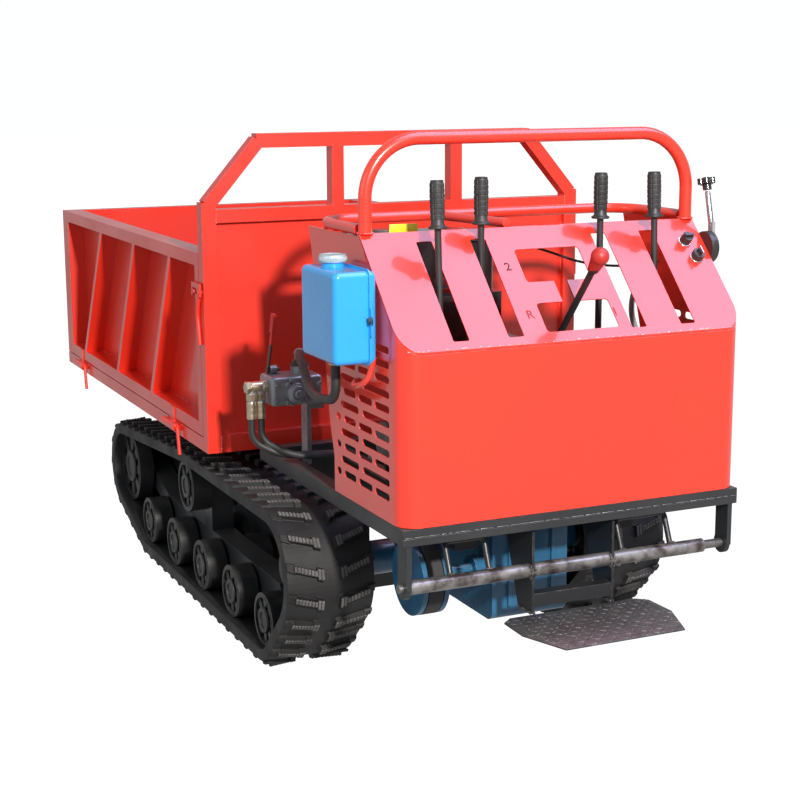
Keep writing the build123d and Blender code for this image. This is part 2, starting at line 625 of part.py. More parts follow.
def oil_tank_cap():
    """The bright screw cap."""
    top = TANK_Z + TANK_SIZE[2] / 2 + 10.3
    return rod((TANK_X, TANK_Y + 30, top), (TANK_X, TANK_Y + 30, top + 17), 33)


def elbow_line():
    """Direction in which the pump's elbow points."""
    return Vector(-0.35, -0.93, 0.12).normalized()


def elbow_mouth():
    return Vector(-410, PUMP_Y, PUMP_Z + 84) + elbow_line() * 34


def hydraulic_pump():
    """The cast pump and valve with its elbow, hose fittings and mounting arm."""
    body = block((-505, -365), (PUMP_Y - 48, PUMP_Y + 48), (PUMP_Z - 42, PUMP_Z + 34))
    body = fillet(body.edges(), 10)
    body += rod((-440, PUMP_Y - 62, PUMP_Z - 8), (-440, PUMP_Y, PUMP_Z - 8), 27)
    body += rod((-410, PUMP_Y, PUMP_Z + 30), (-410, PUMP_Y, PUMP_Z + 56), 24)
    bend = (-410, PUMP_Y, PUMP_Z + 84)
    elbow = rod((-410, PUMP_Y, PUMP_Z + 50), bend, 13) + Pos(bend) * Sphere(15)
    elbow += rod((-410, PUMP_Y, PUMP_Z + 84), tuple(elbow_mouth()), 13)
    fitting = rod((-505, PUMP_Y - 10, PUMP_Z + 8), (-560, PUMP_Y - 10, PUMP_Z + 8), 14)
    ferrules = [rod((x, y, PUMP_Z + 8), (x, y, PUMP_Z - 70), 11.5)
                for x, y in ((-548, PUMP_Y - 10), (-522, PUMP_Y - 10))]
    arm = block((-400, -352), (PUMP_Y - 20, PUMP_Y + 20), (PUMP_Z - 60, PUMP_Z - 36))
    arm += block((-400, -388), (PUMP_Y - 20, PUMP_Y + 20), (COVER_BOTTOM - 2 - 8, PUMP_Z - 36))
    pivot = ring((-486, PUMP_Y + 20, PUMP_Z + 44), (-468, PUMP_Y + 20, PUMP_Z + 44), 12, 6 + RUN_FIT)
    stand = block((-486, -468), (PUMP_Y + 8, PUMP_Y + 32), (PUMP_Z + 24, PUMP_Z + 34))
    return body + elbow + fitting + ferrules + arm + pivot + stand


def valve_lever():
    """The flat tipping lever on the valve with its red grip."""
    y = PUMP_Y + 20
    z = PUMP_Z + 44
    pin = rod((-495, y, z), (-460, y, z), 6)
    blade = square_bar((-492, y, z - 8), (-478, y - 4, z + 96), 5, 14)
    grip = square_bar((-478, y - 4, z + 96), (-473, y - 6, z + 146), 9, 20)
    return Compound([pin + blade, grip])


def suction_hose():
    """The thick hose from the tank's outlet, round a low bend and up to the pump's elbow."""
    start = (TANK_X, TANK_Y + 20, TANK_Z - TANK_SIZE[2] / 2 - 16)
    mouth = elbow_mouth()
    before = mouth + elbow_line() * 130
    return hose([start, (TANK_X, TANK_Y + 20, 790), (-506, at(395), 770), tuple(before), tuple(mouth)],
                SUCTION_HOSE_R)


def lift_hoses():
    """The supply and return hoses from the valve down and in behind the cover."""
    low = COVER_BOTTOM + 26
    routes = []
    for x, shift in ((-548, 0), (-522, 24)):
        points = [(x, PUMP_Y - 10, PUMP_Z - 70), (x, PUMP_Y - 10, low + 40),
                  (x + 70, PUMP_Y - 34 - shift, low), (-330, PUMP_Y - 66 - shift, low),
                  (-270, PUMP_Y - 40 - shift, low - 24)]
        routes.append(hose(points, LIFT_HOSE_R))
    return Compound(routes)


def lift_line():
    """Unit vector from the cylinder's foot to its head, at rest."""
    return Vector(0, LIFT_TOP_Y - LIFT_BASE_Y, LIFT_TOP_Z - LIFT_BASE_Z).normalized()


def lift_barrel():
    """The lift cylinder's barrel with its foot eye."""
    foot = Vector(0, LIFT_BASE_Y, LIFT_BASE_Z)
    line = lift_line()
    eye = ring((-30, LIFT_BASE_Y, LIFT_BASE_Z), (30, LIFT_BASE_Y, LIFT_BASE_Z), 28, AXLE_R + RUN_FIT)
    tube = rod(tuple(foot + line * 24), tuple(foot + line * LIFT_BARREL_LENGTH), LIFT_BARREL_R)
    tube -= rod((-36, LIFT_BASE_Y, LIFT_BASE_Z), (36, LIFT_BASE_Y, LIFT_BASE_Z), AXLE_R + RUN_FIT)
    tube -= rod(tuple(foot + line * 60), tuple(foot + line * (LIFT_BARREL_LENGTH + 1)),
                LIFT_ROD_R + RUN_FIT)
    return eye + tube


def lift_rod():
    """The lift cylinder's rod with its head eye."""
    foot = Vector(0, LIFT_BASE_Y, LIFT_BASE_Z)
    line = lift_line()
    reach = math.hypot(LIFT_TOP_Y - LIFT_BASE_Y, LIFT_TOP_Z - LIFT_BASE_Z)
    bar = rod(tuple(foot + line * 320), tuple(foot + line * (reach - 20)), LIFT_ROD_R)
    return bar + ring((-20, LIFT_TOP_Y, LIFT_TOP_Z), (20, LIFT_TOP_Y, LIFT_TOP_Z), 26, TIP_SHAFT_R)


# ---- step ------------------------------------------------------------------------------------


def step_frame():
    """The folding step's tube with its two arms, cross bar and the two stop loops."""
    tube = ring((-424, STEP_Y, STEP_Z), (372, STEP_Y, STEP_Z), STEP_TUBE_R, STEP_SHAFT_R + RUN_FIT)
    under = STEP_PLATE_Z + STEP_PLATE_THICK
    top = COVER_BOTTOM - 2 - BEAM_HEIGHT - 8
    profile = [(at(18), under), (at(86), under), (at(160), top), (at(20), top)]
    bore = rod((-430, STEP_Y, STEP_Z), (380, STEP_Y, STEP_Z), STEP_SHAFT_R + RUN_FIT)
    for x in (-STEP_ARM_X, STEP_ARM_X):
        tube += side_prism(profile, (x - 3, x + 3))
    tube += block((-STEP_ARM_X, STEP_ARM_X), (at(22), at(54)), (under + 14, under + 46))
    for left, right in ((-311, -210), (148, 286)):
        loop = bent_tube([(left, STEP_Y + 10, STEP_Z + 12), (left, at(76), STEP_Z + 84),
                          (right, at(76), STEP_Z + 84), (right, STEP_Y + 10, STEP_Z + 12)], 7, 12)
        tube += loop
    return tube - bore


def step_plate():
    """The chequer-plate foot platform."""
    half = [(156, at(-218)), (200, at(-97)), (197, at(-5)), (170, at(18))]
    outline = half + [(-x, y) for x, y in reversed(half)]
    face = Pos(0, 0, STEP_PLATE_Z) * make_face(Polyline(*outline, close=True))
    return extrude(face, STEP_PLATE_THICK)


# ---- tipping bed -----------------------------------------------------------------------------


def bed_end():
    return BED_Y + BED_LENGTH


def along_bed(reach):
    """A place along the bed: its distance behind the headboard's face when the bed is 1619 long."""
    return BED_Y + reach * BED_LENGTH / 1619.0


def side_hinge_spans():
    return [(along_bed(263), along_bed(388)), (along_bed(1356), along_bed(1468))]


def bed_floor():
    """The bed's base frame, floor sheet, tipping lugs, lift clevis and fixed hinge barrels."""
    half = BED_WIDTH / 2
    top = BED_BASE + BED_BASE_HEIGHT
    base = block((-half, half), (BED_Y + FRAME_TUBE + 0.5, bed_end()), (BED_BASE, top))
    bays = [(BED_Y + 66, BED_Y + 524), (BED_Y + 548, BED_Y + 1030), (BED_Y + 1200, bed_end() - 24)]
    columns = ((-half + 24, -RAIL_X - 14), (-RAIL_X + 14, RAIL_X - 14), (RAIL_X + 14, half - 24))
    for low, high in bays:
        for left, right in columns:
            base -= block((left, right), (low, high), (BED_BASE - 1, top - SHEET))
    pin = rod((-RAIL_X - 34, TIP_Y, TIP_Z), (RAIL_X + 34, TIP_Y, TIP_Z), TIP_SHAFT_R + RUN_FIT)
    for side in (-1, 1):
        lug = block((side * RAIL_X - 12, side * RAIL_X + 12), (TIP_Y - 24, TIP_Y + 24),
                    (TIP_Z, BED_BASE + 2))
        base += lug + rod((side * RAIL_X - 12, TIP_Y, TIP_Z), (side * RAIL_X + 12, TIP_Y, TIP_Z), 24)
        base += side_hinge_barrels(side)
    base -= pin
    for x in (-34, 24):
        base += block((x, x + 10), (LIFT_TOP_Y - 40, LIFT_TOP_Y + 50), (LIFT_TOP_Z - 20, top - SHEET))
    y = bed_end() + HINGE_R
    z = hinge_height()
    for x in GATE_HINGE_X:
        for near in (x, x + 81):
            barrel = rod((near, y, z), (near + 40, y, z), HINGE_R)
            barrel += block((near, near + 40), (bed_end() - 1, y), (z - HINGE_R, z))
            base += barrel - rod((near, y, z), (near + 40, y, z), PIN_R)
    return base


def hinge_height():
    return BED_BASE + BED_BASE_HEIGHT - HINGE_R - 3


def side_hinge_barrels(side):
    """The fixed barrels of one side panel's hinges."""
    x = side * (BED_WIDTH / 2 + HINGE_R)
    z = hinge_height()
    barrels = []
    leaf_x = sorted((x, side * (BED_WIDTH / 2 - 1)))
    for low, high in side_hinge_spans():
        third = (high - low) / 3
        for near, far in ((low, low + third - 0.5), (high - third + 0.5, high)):
            barrel = rod((x, near, z), (x, far, z), HINGE_R)
            barrel += block(leaf_x, (near, far), (z - HINGE_R, z))
            barrels.append(barrel - rod((x, near, z), (x, far, z), PIN_R))
    return barrels


def hinge_pins():
    """The panel and gate hinge pins with their bent tails."""
    pins = []
    z = hinge_height()
    for side in (-1, 1):
        x = side * (BED_WIDTH / 2 + HINGE_R)
        for low, high in side_hinge_spans():
            pin = rod((x, low - 14, z), (x, high, z), PIN_R)
            pin += Pos(x, low - 14, z) * Sphere(PIN_R)
            pins.append(pin + rod((x, low - 14, z), (x, low - 30, z - 74), PIN_R))
    for x in GATE_HINGE_X:
        y = bed_end() + HINGE_R
        pins.append(rod((x - 6, y, z), (x + 127, y, z), PIN_R))
    return Compound(pins)


def headboard():
    """The fixed headboard: square-tube frame with its upper guard, sheet and latch studs."""
    half = BED_WIDTH / 2 - FRAME_TUBE / 2
    y = BED_Y + FRAME_TUBE / 2
    near = (BED_Y, BED_Y + FRAME_TUBE)
    low = BED_BASE
    shoulder = HEADBOARD_SHOULDER - FRAME_TUBE / 2
    rail = HEADBOARD_TOP - FRAME_TUBE / 2
    board = block((-half, half), near, (low, low + 48))
    board += block((-half, half), near, (1136, 1172))
    board += block((-416, 416), near, (rail - 18, HEADBOARD_TOP))
    side = block((half - 20, half + 20), near, (low, shoulder + 8))
    side += square_bar((half, y, shoulder), (416 - 6, y, rail), FRAME_TUBE, 36)
    side += block((164, 199), near, (1170, rail - 10))
    board += both_sides(side)
    board += block((-half, half), (y - SHEET, y), (low + 40, 1150))
    for x in (-1, 1):
        board += rod((x * (half + 18), y, 950), (x * (half + 30), y, 950), PIN_R)
    return board


def side_panel():
    """The left drop side: frame, recessed sheet, slanted stiffeners, hinge leaves, latch stud."""
    low = BED_BASE + BED_BASE_HEIGHT + BED_WALL_GAP
    top = BED_WALL_TOP
    outer = -BED_WIDTH / 2
    x = (outer, outer + BED_WALL_THICK)
    y = (BED_Y + FRAME_TUBE + BED_WALL_GAP, bed_end() - FRAME_TUBE - BED_WALL_GAP)
    panel = block(x, y, (low, top))
    panel -= block((outer - 1, x[1] - SHEET), (y[0] + 34, y[1] - 34), (low + 36, top - 36))
    for head, foot in ((299, 538), (676, 930), (1070, 1357)):
        head, foot = along_bed(head), along_bed(foot)
        rib = [(head, top - 30), (head + 24, top - 30), (foot + 24, low + 30), (foot, low + 30)]
        panel += side_prism(rib, (outer, x[1] - 1))
    hinge_x = outer - HINGE_R
    z = hinge_height()
    for near, far in side_hinge_spans():
        third = (far - near) / 3
        leaf = block((outer - 4, outer), (near + third + 1, far - third - 1), (z + 6, low + 34))
        barrel = rod((hinge_x, near + third + 1, z), (hinge_x, far - third - 1, z), HINGE_R)
        leaf += barrel + block((hinge_x, outer), (near + third + 1, far - third - 1), (z, z + HINGE_R))
        panel += leaf
        panel -= rod((hinge_x, near, z), (hinge_x, far, z), PIN_R + RUN_FIT)
    return panel + rod((outer - 11, y[0] + 14, 950), (outer + 2, y[0] + 14, 950), 6)


def front_gate():
    """The drop gate at the discharge end."""
    low = BED_BASE + BED_BASE_HEIGHT + BED_WALL_GAP
    half = BED_WIDTH / 2
    y = (bed_end() - FRAME_TUBE, bed_end())
    gate = block((-half, half), y, (low, BED_WALL_TOP))
    gate -= block((-half + 36, half - 36), (y[0] + SHEET, y[1] + 1), (low + 36, BED_WALL_TOP - 36))
    for x in (-190, 190):
        gate += block((x - 18, x + 18), y, (low + 20, BED_WALL_TOP - 20))
    z = hinge_height()
    hinge_y = bed_end() + HINGE_R
    for x in GATE_HINGE_X:
        gate += block((x + 41, x + 80), (bed_end(), hinge_y), (z, z + HINGE_R))
        gate += block((x + 41, x + 80), (bed_end(), bed_end() + 4), (z + 6, low + 34))
        gate += rod((x + 41, hinge_y, z), (x + 80, hinge_y, z), HINGE_R)
        gate -= rod((x + 40, hinge_y, z), (x + 81, hinge_y, z), PIN_R + RUN_FIT)
    return gate


def corner_latch():
    """The left corner latch: hook over the side panel's stud and its curved hand lever."""
    outer = -BED_WIDTH / 2
    x = (outer - 9, outer - 3)
    pivot_y = BED_Y + FRAME_TUBE / 2
    hook = [(pivot_y - 10, 938), (pivot_y + 12, 938), (pivot_y + 16, 960), (pivot_y + 52, 960),
            (pivot_y + 52, 938), (pivot_y + 62, 938), (pivot_y + 62, 974), (pivot_y - 10, 974)]
    latch = side_prism(hook, x)
    latch += bent_tube([(outer - 6, pivot_y, 950), (outer - 6, pivot_y + 22, 890),
                        (outer - 6, pivot_y + 6, 806)], 5.9, 60)
    return latch - rod((outer - 12, pivot_y, 950), (outer, pivot_y, 950), PIN_R + RUN_FIT)


# ---- build -----------------------------------------------------------------------------------


def all_parts():
    parts = {"chassis_frame": chassis_frame(), "pivot_shafts": pivot_shafts(), "gearbox": gearbox(),
             "hood_shell": hood_shell(), "console_panel": console_panel(), "hood_rails": hood_rails(),
             "control_mounts": control_mounts(), "engine_block": engine_block(),
             "engine_shroud": engine_shroud(), "fuel_tank": fuel_tank(), "drive_belt": drive_belt()}
    parts["engine_pulley"] = pulley(PULLEY_X, ENGINE_SHAFT_Y, ENGINE_SHAFT_Z, ENGINE_PULLEY_R, -125)
    parts["gearbox_pulley"] = pulley(PULLEY_X, GEARBOX_SHAFT_Y, GEARBOX_SHAFT_Z, GEARBOX_PULLEY_R, -60)
    sided = {"track": track_belt(), "track_frame": track_frame(), "sprocket": sprocket(),
             "idler": wheel(IDLER_Y, IDLER_Z, IDLER_R, IDLER_WIDTH, 34),
             "carrier_roller": wheel(CARRIER_Y, CARRIER_Z, CARRIER_R, ROLLER_WIDTH, 26),
             "side_panel": side_panel(), "latch": corner_latch()}
    for number, y in enumerate(roller_places(), 1):
        sided[f"roller_{number}"] = wheel(y, roller_height(), ROLLER_R, ROLLER_WIDTH, 26)
    for name, shape in sided.items():
        parts[f"left_{name}"] = shape
        parts[f"right_{name}"] = mirrored(shape)
    parts["clutch_lever"] = hand_lever(LEVER_X["clutch"], 108, 143)
    parts["left_steering_lever"] = hand_lever(LEVER_X["left_steering"], 189, 193)
    parts["right_steering_lever"] = hand_lever(LEVER_X["right_steering"], 200, 199)
    parts["brake_lever"] = hand_lever(LEVER_X["brake"], 148, 177)
    parts.update({"gear_yoke": gear_yoke(), "gear_lever": gear_lever(),
                  "light_switch_knob": light_switch_knob(), "ignition_key": ignition_key(),
                  "throttle_lever": throttle_lever(), "oil_tank": oil_tank(),
                  "oil_tank_cap": oil_tank_cap(), "hydraulic_pump": hydraulic_pump(),
                  "valve_lever": valve_lever(),
                  "suction_hose": suction_hose(), "lift_hoses": lift_hoses(), "lift_barrel": lift_barrel(),
                  "lift_rod": lift_rod(), "step_frame": step_frame(), "step_plate": step_plate(),
                  "bed_floor": bed_floor(), "hinge_pins": hinge_pins(), "headboard": headboard(),
                  "front_gate": front_gate()})
    return parts


os.makedirs("parts", exist_ok=True)
for node, solid in all_parts().items():
    export_step(solid, f"parts/{node}.step")
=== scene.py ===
import math
import random

import bpy
from mathutils import Matrix, Vector


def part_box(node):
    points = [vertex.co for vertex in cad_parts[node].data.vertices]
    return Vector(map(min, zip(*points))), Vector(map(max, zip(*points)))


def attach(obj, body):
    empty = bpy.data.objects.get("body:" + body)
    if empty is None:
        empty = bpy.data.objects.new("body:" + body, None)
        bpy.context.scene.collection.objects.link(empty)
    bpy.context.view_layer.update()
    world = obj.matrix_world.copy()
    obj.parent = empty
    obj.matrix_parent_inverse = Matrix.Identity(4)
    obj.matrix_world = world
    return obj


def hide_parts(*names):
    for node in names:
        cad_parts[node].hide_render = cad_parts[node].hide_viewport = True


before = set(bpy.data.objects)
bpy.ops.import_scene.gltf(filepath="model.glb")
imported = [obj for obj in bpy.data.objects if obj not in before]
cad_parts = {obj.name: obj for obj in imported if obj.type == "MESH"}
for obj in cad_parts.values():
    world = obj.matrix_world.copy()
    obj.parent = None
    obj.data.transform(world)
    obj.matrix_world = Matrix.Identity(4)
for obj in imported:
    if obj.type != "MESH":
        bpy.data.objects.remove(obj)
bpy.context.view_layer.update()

# ---- Viewpoint, floor and light --------------------------------------------------------------
# The machine stands on a bright white floor, seen from its operator's end, a little from the left.
# A hard sun-like lamp stands high on the right. A pale sky panel overhead shows in the top faces.

eye = Vector((-1.891, -4.355, 1.528))
yaw = math.radians(24.55)
pitch = math.radians(-11.42)
roll = math.radians(0.25)
ahead = Vector((math.sin(yaw) * math.cos(pitch), math.cos(yaw) * math.cos(pitch), math.sin(pitch)))
turn = ahead.to_track_quat("-Z", "Y").to_matrix().to_4x4() @ Matrix.Rotation(-roll, 4, "Z")
camera = bpy.data.objects.new("camera", bpy.data.cameras.new("camera"))
camera.data.lens = 72.93
camera.matrix_world = Matrix.Translation(eye) @ turn
bpy.context.scene.collection.objects.link(camera)
bpy.context.scene.camera = camera
bpy.context.scene.view_settings.view_transform = "Standard"

WHITE_LEVEL = 1.1


def strength_by_ray(tree, level, socket):
    """Makes a glow plain white to the camera, and gives the machine only this level of light."""
    ray, strength = tree.nodes.new("ShaderNodeLightPath"), tree.nodes.new("ShaderNodeMapRange")
    strength.inputs["To Min"].default_value = level
    strength.inputs["To Max"].default_value = WHITE_LEVEL
    tree.links.new(ray.outputs["Is Camera Ray"], strength.inputs["Value"])
    tree.links.new(strength.outputs["Result"], socket)


sky = bpy.data.worlds.new("studio_sky")
sky.use_nodes = True
backdrop = sky.node_tree.nodes["Background"]
backdrop.inputs["Color"].default_value = (0.90, 0.95, 1.0, 1)
strength_by_ray(sky.node_tree, 0.48, backdrop.inputs["Strength"])
bpy.context.scene.world = sky


def soft_lamp(name, place, width, power, tint):
    """A square studio lamp, aimed at the middle of the machine. It gives the lamp."""
    lamp = bpy.data.objects.new(name, bpy.data.lights.new(name, "AREA"))
    lamp.data.size = width
    lamp.data.energy = power
    lamp.data.color = tint
    aim = Vector((0, -0.5, 0.7)) - Vector(place)
    lamp.matrix_world = Matrix.Translation(place) @ aim.to_track_quat("-Z", "Y").to_matrix().to_4x4()
    bpy.context.scene.collection.objects.link(lamp)
    return lamp


soft_lamp("key_lamp", (-1.0, -7.6, 4.1), 0.35, 880, (1.0, 0.96, 0.90))
soft_lamp("left_lamp", (-5.0, -1.5, 2.6), 2.5, 25, (0.93, 0.96, 1.0))
soft_lamp("sky_panel", (1.5, -2.0, 4.4), 3.6, 215, (0.62, 0.62, 1.0)).visible_diffuse = False

bpy.ops.object.select_all(action="DESELECT")
bpy.ops.mesh.primitive_circle_add(vertices=96, radius=40, fill_type="NGON", location=(0, 0, -0.001))
floor = bpy.context.object
floor.name = "studio_floor"
floor_finish = bpy.data.materials.new("floor_paint")
floor_finish.use_nodes = True
floor_tree = floor_finish.node_tree
matt = floor_tree.nodes["Principled BSDF"]
matt.inputs["Base Color"].default_value = (0.30, 0.29, 0.28, 1)
matt.inputs["Roughness"].default_value = 0.9
glow, pick, ray = (floor_tree.nodes.new(kind) for kind in ("ShaderNodeEmission", "ShaderNodeMixShader",
                                                           "ShaderNodeLightPath"))
glow.inputs["Color"].default_value = (1, 1, 1, 1)
strength_by_ray(floor_tree, 0.5, glow.inputs["Strength"])
floor_tree.links.new(ray.outputs["Is Diffuse Ray"], pick.inputs["Fac"])
floor_tree.links.new(glow.outputs["Emission"], pick.inputs[1])
floor_tree.links.new(matt.outputs["BSDF"], pick.inputs[2])
floor_tree.links.new(pick.outputs["Shader"], floor_tree.nodes["Material Output"].inputs["Surface"])
floor.data.materials.append(floor_finish)

# ---- Chassis frame ---------------------------------------------------------------------------
# Two box-section rails with cross tubes, the beam under the cover and the hangers of the step,
# welded up and sprayed semi-gloss black. The paint is worn on its edges and dusty underneath.


def ranged(tree, value, start, end, low, high):
    """A value moved from one range to another."""
    node = tree.nodes.new("ShaderNodeMapRange")
    for name, number in (("From Min", start), ("From Max", end), ("To Min", low), ("To Max", high)):
        node.inputs[name].default_value = number
    tree.links.new(value, node.inputs["Value"])
    return node.outputs["Result"]


def product(tree, first, second):
    """Two values multiplied."""
    node = tree.nodes.new("ShaderNodeMath")
    node.operation = "MULTIPLY"
    tree.links.new(first, node.inputs[0])
    tree.links.new(second, node.inputs[1])
    return node.outputs["Value"]


def make_surface_marks():
    """What time leaves on a surface: patches, a fine grain, rubbed edges, dust and rounded edges."""
    group = bpy.data.node_groups.new("surface_marks", "ShaderNodeTree")
    sockets = group.interface
    sockets.new_socket("Place", in_out="INPUT", socket_type="NodeSocketVector")
    for name in ("Patch Scale", "Grain Scale", "Edge Width"):
        sockets.new_socket(name, in_out="INPUT", socket_type="NodeSocketFloat")
    for name in ("Patches", "Grain", "Edges", "Dust"):
        sockets.new_socket(name, in_out="OUTPUT", socket_type="NodeSocketFloat")
    sockets.new_socket("Rounded", in_out="OUTPUT", socket_type="NodeSocketVector")
    nodes, links = group.nodes, group.links
    into, out = nodes.new("NodeGroupInput"), nodes.new("NodeGroupOutput")
    patches, grain, rub = (nodes.new("ShaderNodeTexNoise") for _ in range(3))
    rub.inputs["Scale"].default_value = 38.0
    rub.inputs["Detail"].default_value = 6.0
    patches.inputs["Detail"].default_value = 5.0
    grain.inputs["Detail"].default_value = 3.0
    for noise in (patches, grain, rub):
        links.new(into.outputs["Place"], noise.inputs["Vector"])
    links.new(into.outputs["Patch Scale"], patches.inputs["Scale"])
    links.new(into.outputs["Grain Scale"], grain.inputs["Scale"])
    rounded, shape = nodes.new("ShaderNodeBevel"), nodes.new("ShaderNodeNewGeometry")
    rounded.samples = 4
    links.new(into.outputs["Edge Width"], rounded.inputs["Radius"])
    bend = nodes.new("ShaderNodeVectorMath")
    bend.operation = "DOT_PRODUCT"
    links.new(rounded.outputs["Normal"], bend.inputs[0])
    links.new(shape.outputs["True Normal"], bend.inputs[1])
    worn = product(group, ranged(group, bend.outputs["Value"], 0.995, 0.80, 0, 1),
                   ranged(group, rub.outputs["Fac"], 0.42, 0.62, 0, 1))
    lying = nodes.new("ShaderNodeSeparateXYZ")
    links.new(shape.outputs["Normal"], lying.inputs["Vector"])
    dust = product(group, ranged(group, lying.outputs["Z"], 0.2, 1, 0, 1), patches.outputs["Fac"])
    for source, name in ((patches.outputs["Fac"], "Patches"), (grain.outputs["Fac"], "Grain"), (worn, "Edges"),
                         (dust, "Dust"), (rounded.outputs["Normal"], "Rounded")):
        links.new(source, out.inputs[name])
    return group


surface_marks = make_surface_marks()


def mixed(tree, factor, first, second):
    """A colour between two, where each may be a plain colour or another node's output."""
    node = tree.nodes.new("ShaderNodeMix")
    node.data_type = "RGBA"
    tree.links.new(factor, node.inputs["Factor"])
    for value, socket in ((first, node.inputs["A"]), (second, node.inputs["B"])):
        if hasattr(value, "is_output"):
            tree.links.new(value, socket)
        else:
            socket.default_value = (*value, 1)
    return node.outputs["Result"]


def new_finish(name, colour, shade, worn, rough, metal=0.0, coat=0.0, patch=6.0, grain=300.0, dent=0.00008,
               edge=0.002, wear=0.6, dust=0.0):
    """A finish with uneven colour, a grain, rubbed edges and dust. It gives the material."""
    material = bpy.data.materials.new(name)
    material.use_nodes = True
    tree = material.node_tree
    shader = tree.nodes["Principled BSDF"]
    shader.inputs["Metallic"].default_value = metal
    shader.inputs["Coat Weight"].default_value = coat
    shader.inputs["Coat Roughness"].default_value = 0.08
    place, marks = tree.nodes.new("ShaderNodeTexCoord"), tree.nodes.new("ShaderNodeGroup")
    marks.node_tree = surface_marks
    tree.links.new(place.outputs["Object"], marks.inputs["Place"])
    marks.inputs["Patch Scale"].default_value = patch
    marks.inputs["Grain Scale"].default_value = grain
    marks.inputs["Edge Width"].default_value = edge
    uneven = mixed(tree, ranged(tree, marks.outputs["Patches"], 0.3, 0.7, 0, 1), colour, shade)
    rubbed = mixed(tree, ranged(tree, marks.outputs["Edges"], 0, 1, 0, wear), uneven, worn)
    dusty = mixed(tree, ranged(tree, marks.outputs["Dust"], 0.2, 0.8, 0, dust), rubbed, (0.32, 0.30, 0.27))
    tree.links.new(dusty, shader.inputs["Base Color"])
    tree.links.new(ranged(tree, marks.outputs["Patches"], 0.3, 0.7, rough * 0.8, rough * 1.25),
                   shader.inputs["Roughness"])
    bump = tree.nodes.new("ShaderNodeBump")
    bump.inputs["Distance"].default_value = dent
    tree.links.new(marks.outputs["Grain"], bump.inputs["Height"])
    tree.links.new(marks.outputs["Rounded"], bump.inputs["Normal"])
    tree.links.new(bump.outputs["Normal"], shader.inputs["Normal"])
    return material


def cover_nodes(material, *names):
    """Gives the named CAD nodes this finish."""
    for name in names:
        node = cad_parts[name]
        node.data.materials.clear()
        node.data.materials.append(material)


black_paint = new_finish("black_paint", (0.030, 0.031, 0.034), (0.018, 0.019, 0.021), (0.16, 0.15, 0.145), 0.38,
                         grain=220, dent=0.00012, dust=0.25)
worn_steel = new_finish("worn_steel", (0.34, 0.33, 0.32), (0.12, 0.115, 0.11), (0.62, 0.60, 0.57), 0.42,
                        metal=0.85, patch=28, grain=500, dust=0.1)
cover_nodes(black_paint, "chassis_frame", "left_track_frame", "right_track_frame", "step_frame")
cover_nodes(worn_steel, "pivot_shafts", "gear_yoke")


def picked(name):
    """The object that an operator has just made, under its own name."""
    piece = bpy.context.object
    piece.name = name
    piece.data.name = name
    return piece


def only(*pieces):
    """Selects these pieces and nothing else, the first one active."""
    bpy.ops.object.select_all(action="DESELECT")
    for piece in pieces:
        piece.select_set(True)
    bpy.context.view_layer.objects.active = pieces[0]


def joined(name, pieces):
    """One piece from several."""
    only(*pieces)
    if len(pieces) > 1:
        bpy.ops.object.join()
    return picked(name)


def outward(piece, merge=0.0):
    """Turns all faces outwards."""
    only(piece)
    bpy.ops.object.mode_set(mode="EDIT")
    bpy.ops.mesh.select_all(action="SELECT")
    if merge:
        bpy.ops.mesh.remove_doubles(threshold=merge)
    bpy.ops.mesh.normals_make_consistent(inside=False)
    bpy.ops.object.mode_set(mode="OBJECT")
    return piece


def copied(name, model, places):
    """Copies of a model, one at each matrix, as one piece. The model itself goes."""
    pieces = []
    for place in places:
        piece = bpy.data.objects.new(name, model.data.copy())
        piece.data.transform(place)
        bpy.context.scene.collection.objects.link(piece)
        pieces.append(piece)
    bpy.data.objects.remove(model)
    return joined(name, pieces)


def aimed(start, toward):
    """The matrix that puts a part made along +Z at start, running toward a point."""
    line = Vector(toward) - Vector(start)
    return Matrix.Translation(start) @ line.to_track_quat("Z", "Y").to_matrix().to_4x4()


def ways(across, along, out):
    """The matrix that turns a part's X, Y and Z to these three directions."""
    return Matrix((across, along, out)).transposed().to_4x4()


def chamfered(piece, width, segments=2, angle=math.radians(40)):
    """Breaks a piece's sharp edges and smooths what is round."""
    only(piece)
    bevel = piece.modifiers.new("chamfer", "BEVEL")
    bevel.width = width
    bevel.segments = segments
    bevel.angle_limit = angle
    bpy.ops.object.modifier_apply(modifier="chamfer")
    bpy.ops.object.shade_smooth_by_angle(angle=math.radians(35))
    return piece


def turned(name, profile, start, toward, steps=32, smooth=math.radians(35)):
    """A part from the lathe: a profile of (radius, height) spun round the line from start toward a point."""
    mesh = bpy.data.meshes.new(name)
    mesh.from_pydata([(radius, 0, height) for radius, height in profile],
                     [(index, index + 1) for index in range(len(profile) - 1)], [])
    piece = bpy.data.objects.new(name, mesh)
    bpy.context.scene.collection.objects.link(piece)
    only(piece)
    screw = piece.modifiers.new("turn", "SCREW")
    screw.steps = steps
    screw.render_steps = steps
    bpy.ops.object.modifier_apply(modifier="turn")
    outward(piece, merge=0.00002)
    bpy.ops.object.shade_smooth_by_angle(angle=smooth)
    piece.data.transform(aimed(start, toward))
    return piece


def plate(name, low, high, chamfer=0.0008):
    """A plate or bar between two corners, its edges broken."""
    low, high = Vector(low), Vector(high)
    bpy.ops.object.select_all(action="DESELECT")
    bpy.ops.mesh.primitive_cube_add(size=1, location=(low + high) / 2, scale=high - low)
    piece = picked(name)
    bpy.ops.object.transform_apply(location=True, rotation=True, scale=True)
    return chamfered(piece, chamfer)


def fitted(piece, material, body):
    """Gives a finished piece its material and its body."""
    piece.data.materials.clear()
    piece.data.materials.append(material)
    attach(piece, body)
    return piece


chance = random.Random(7)


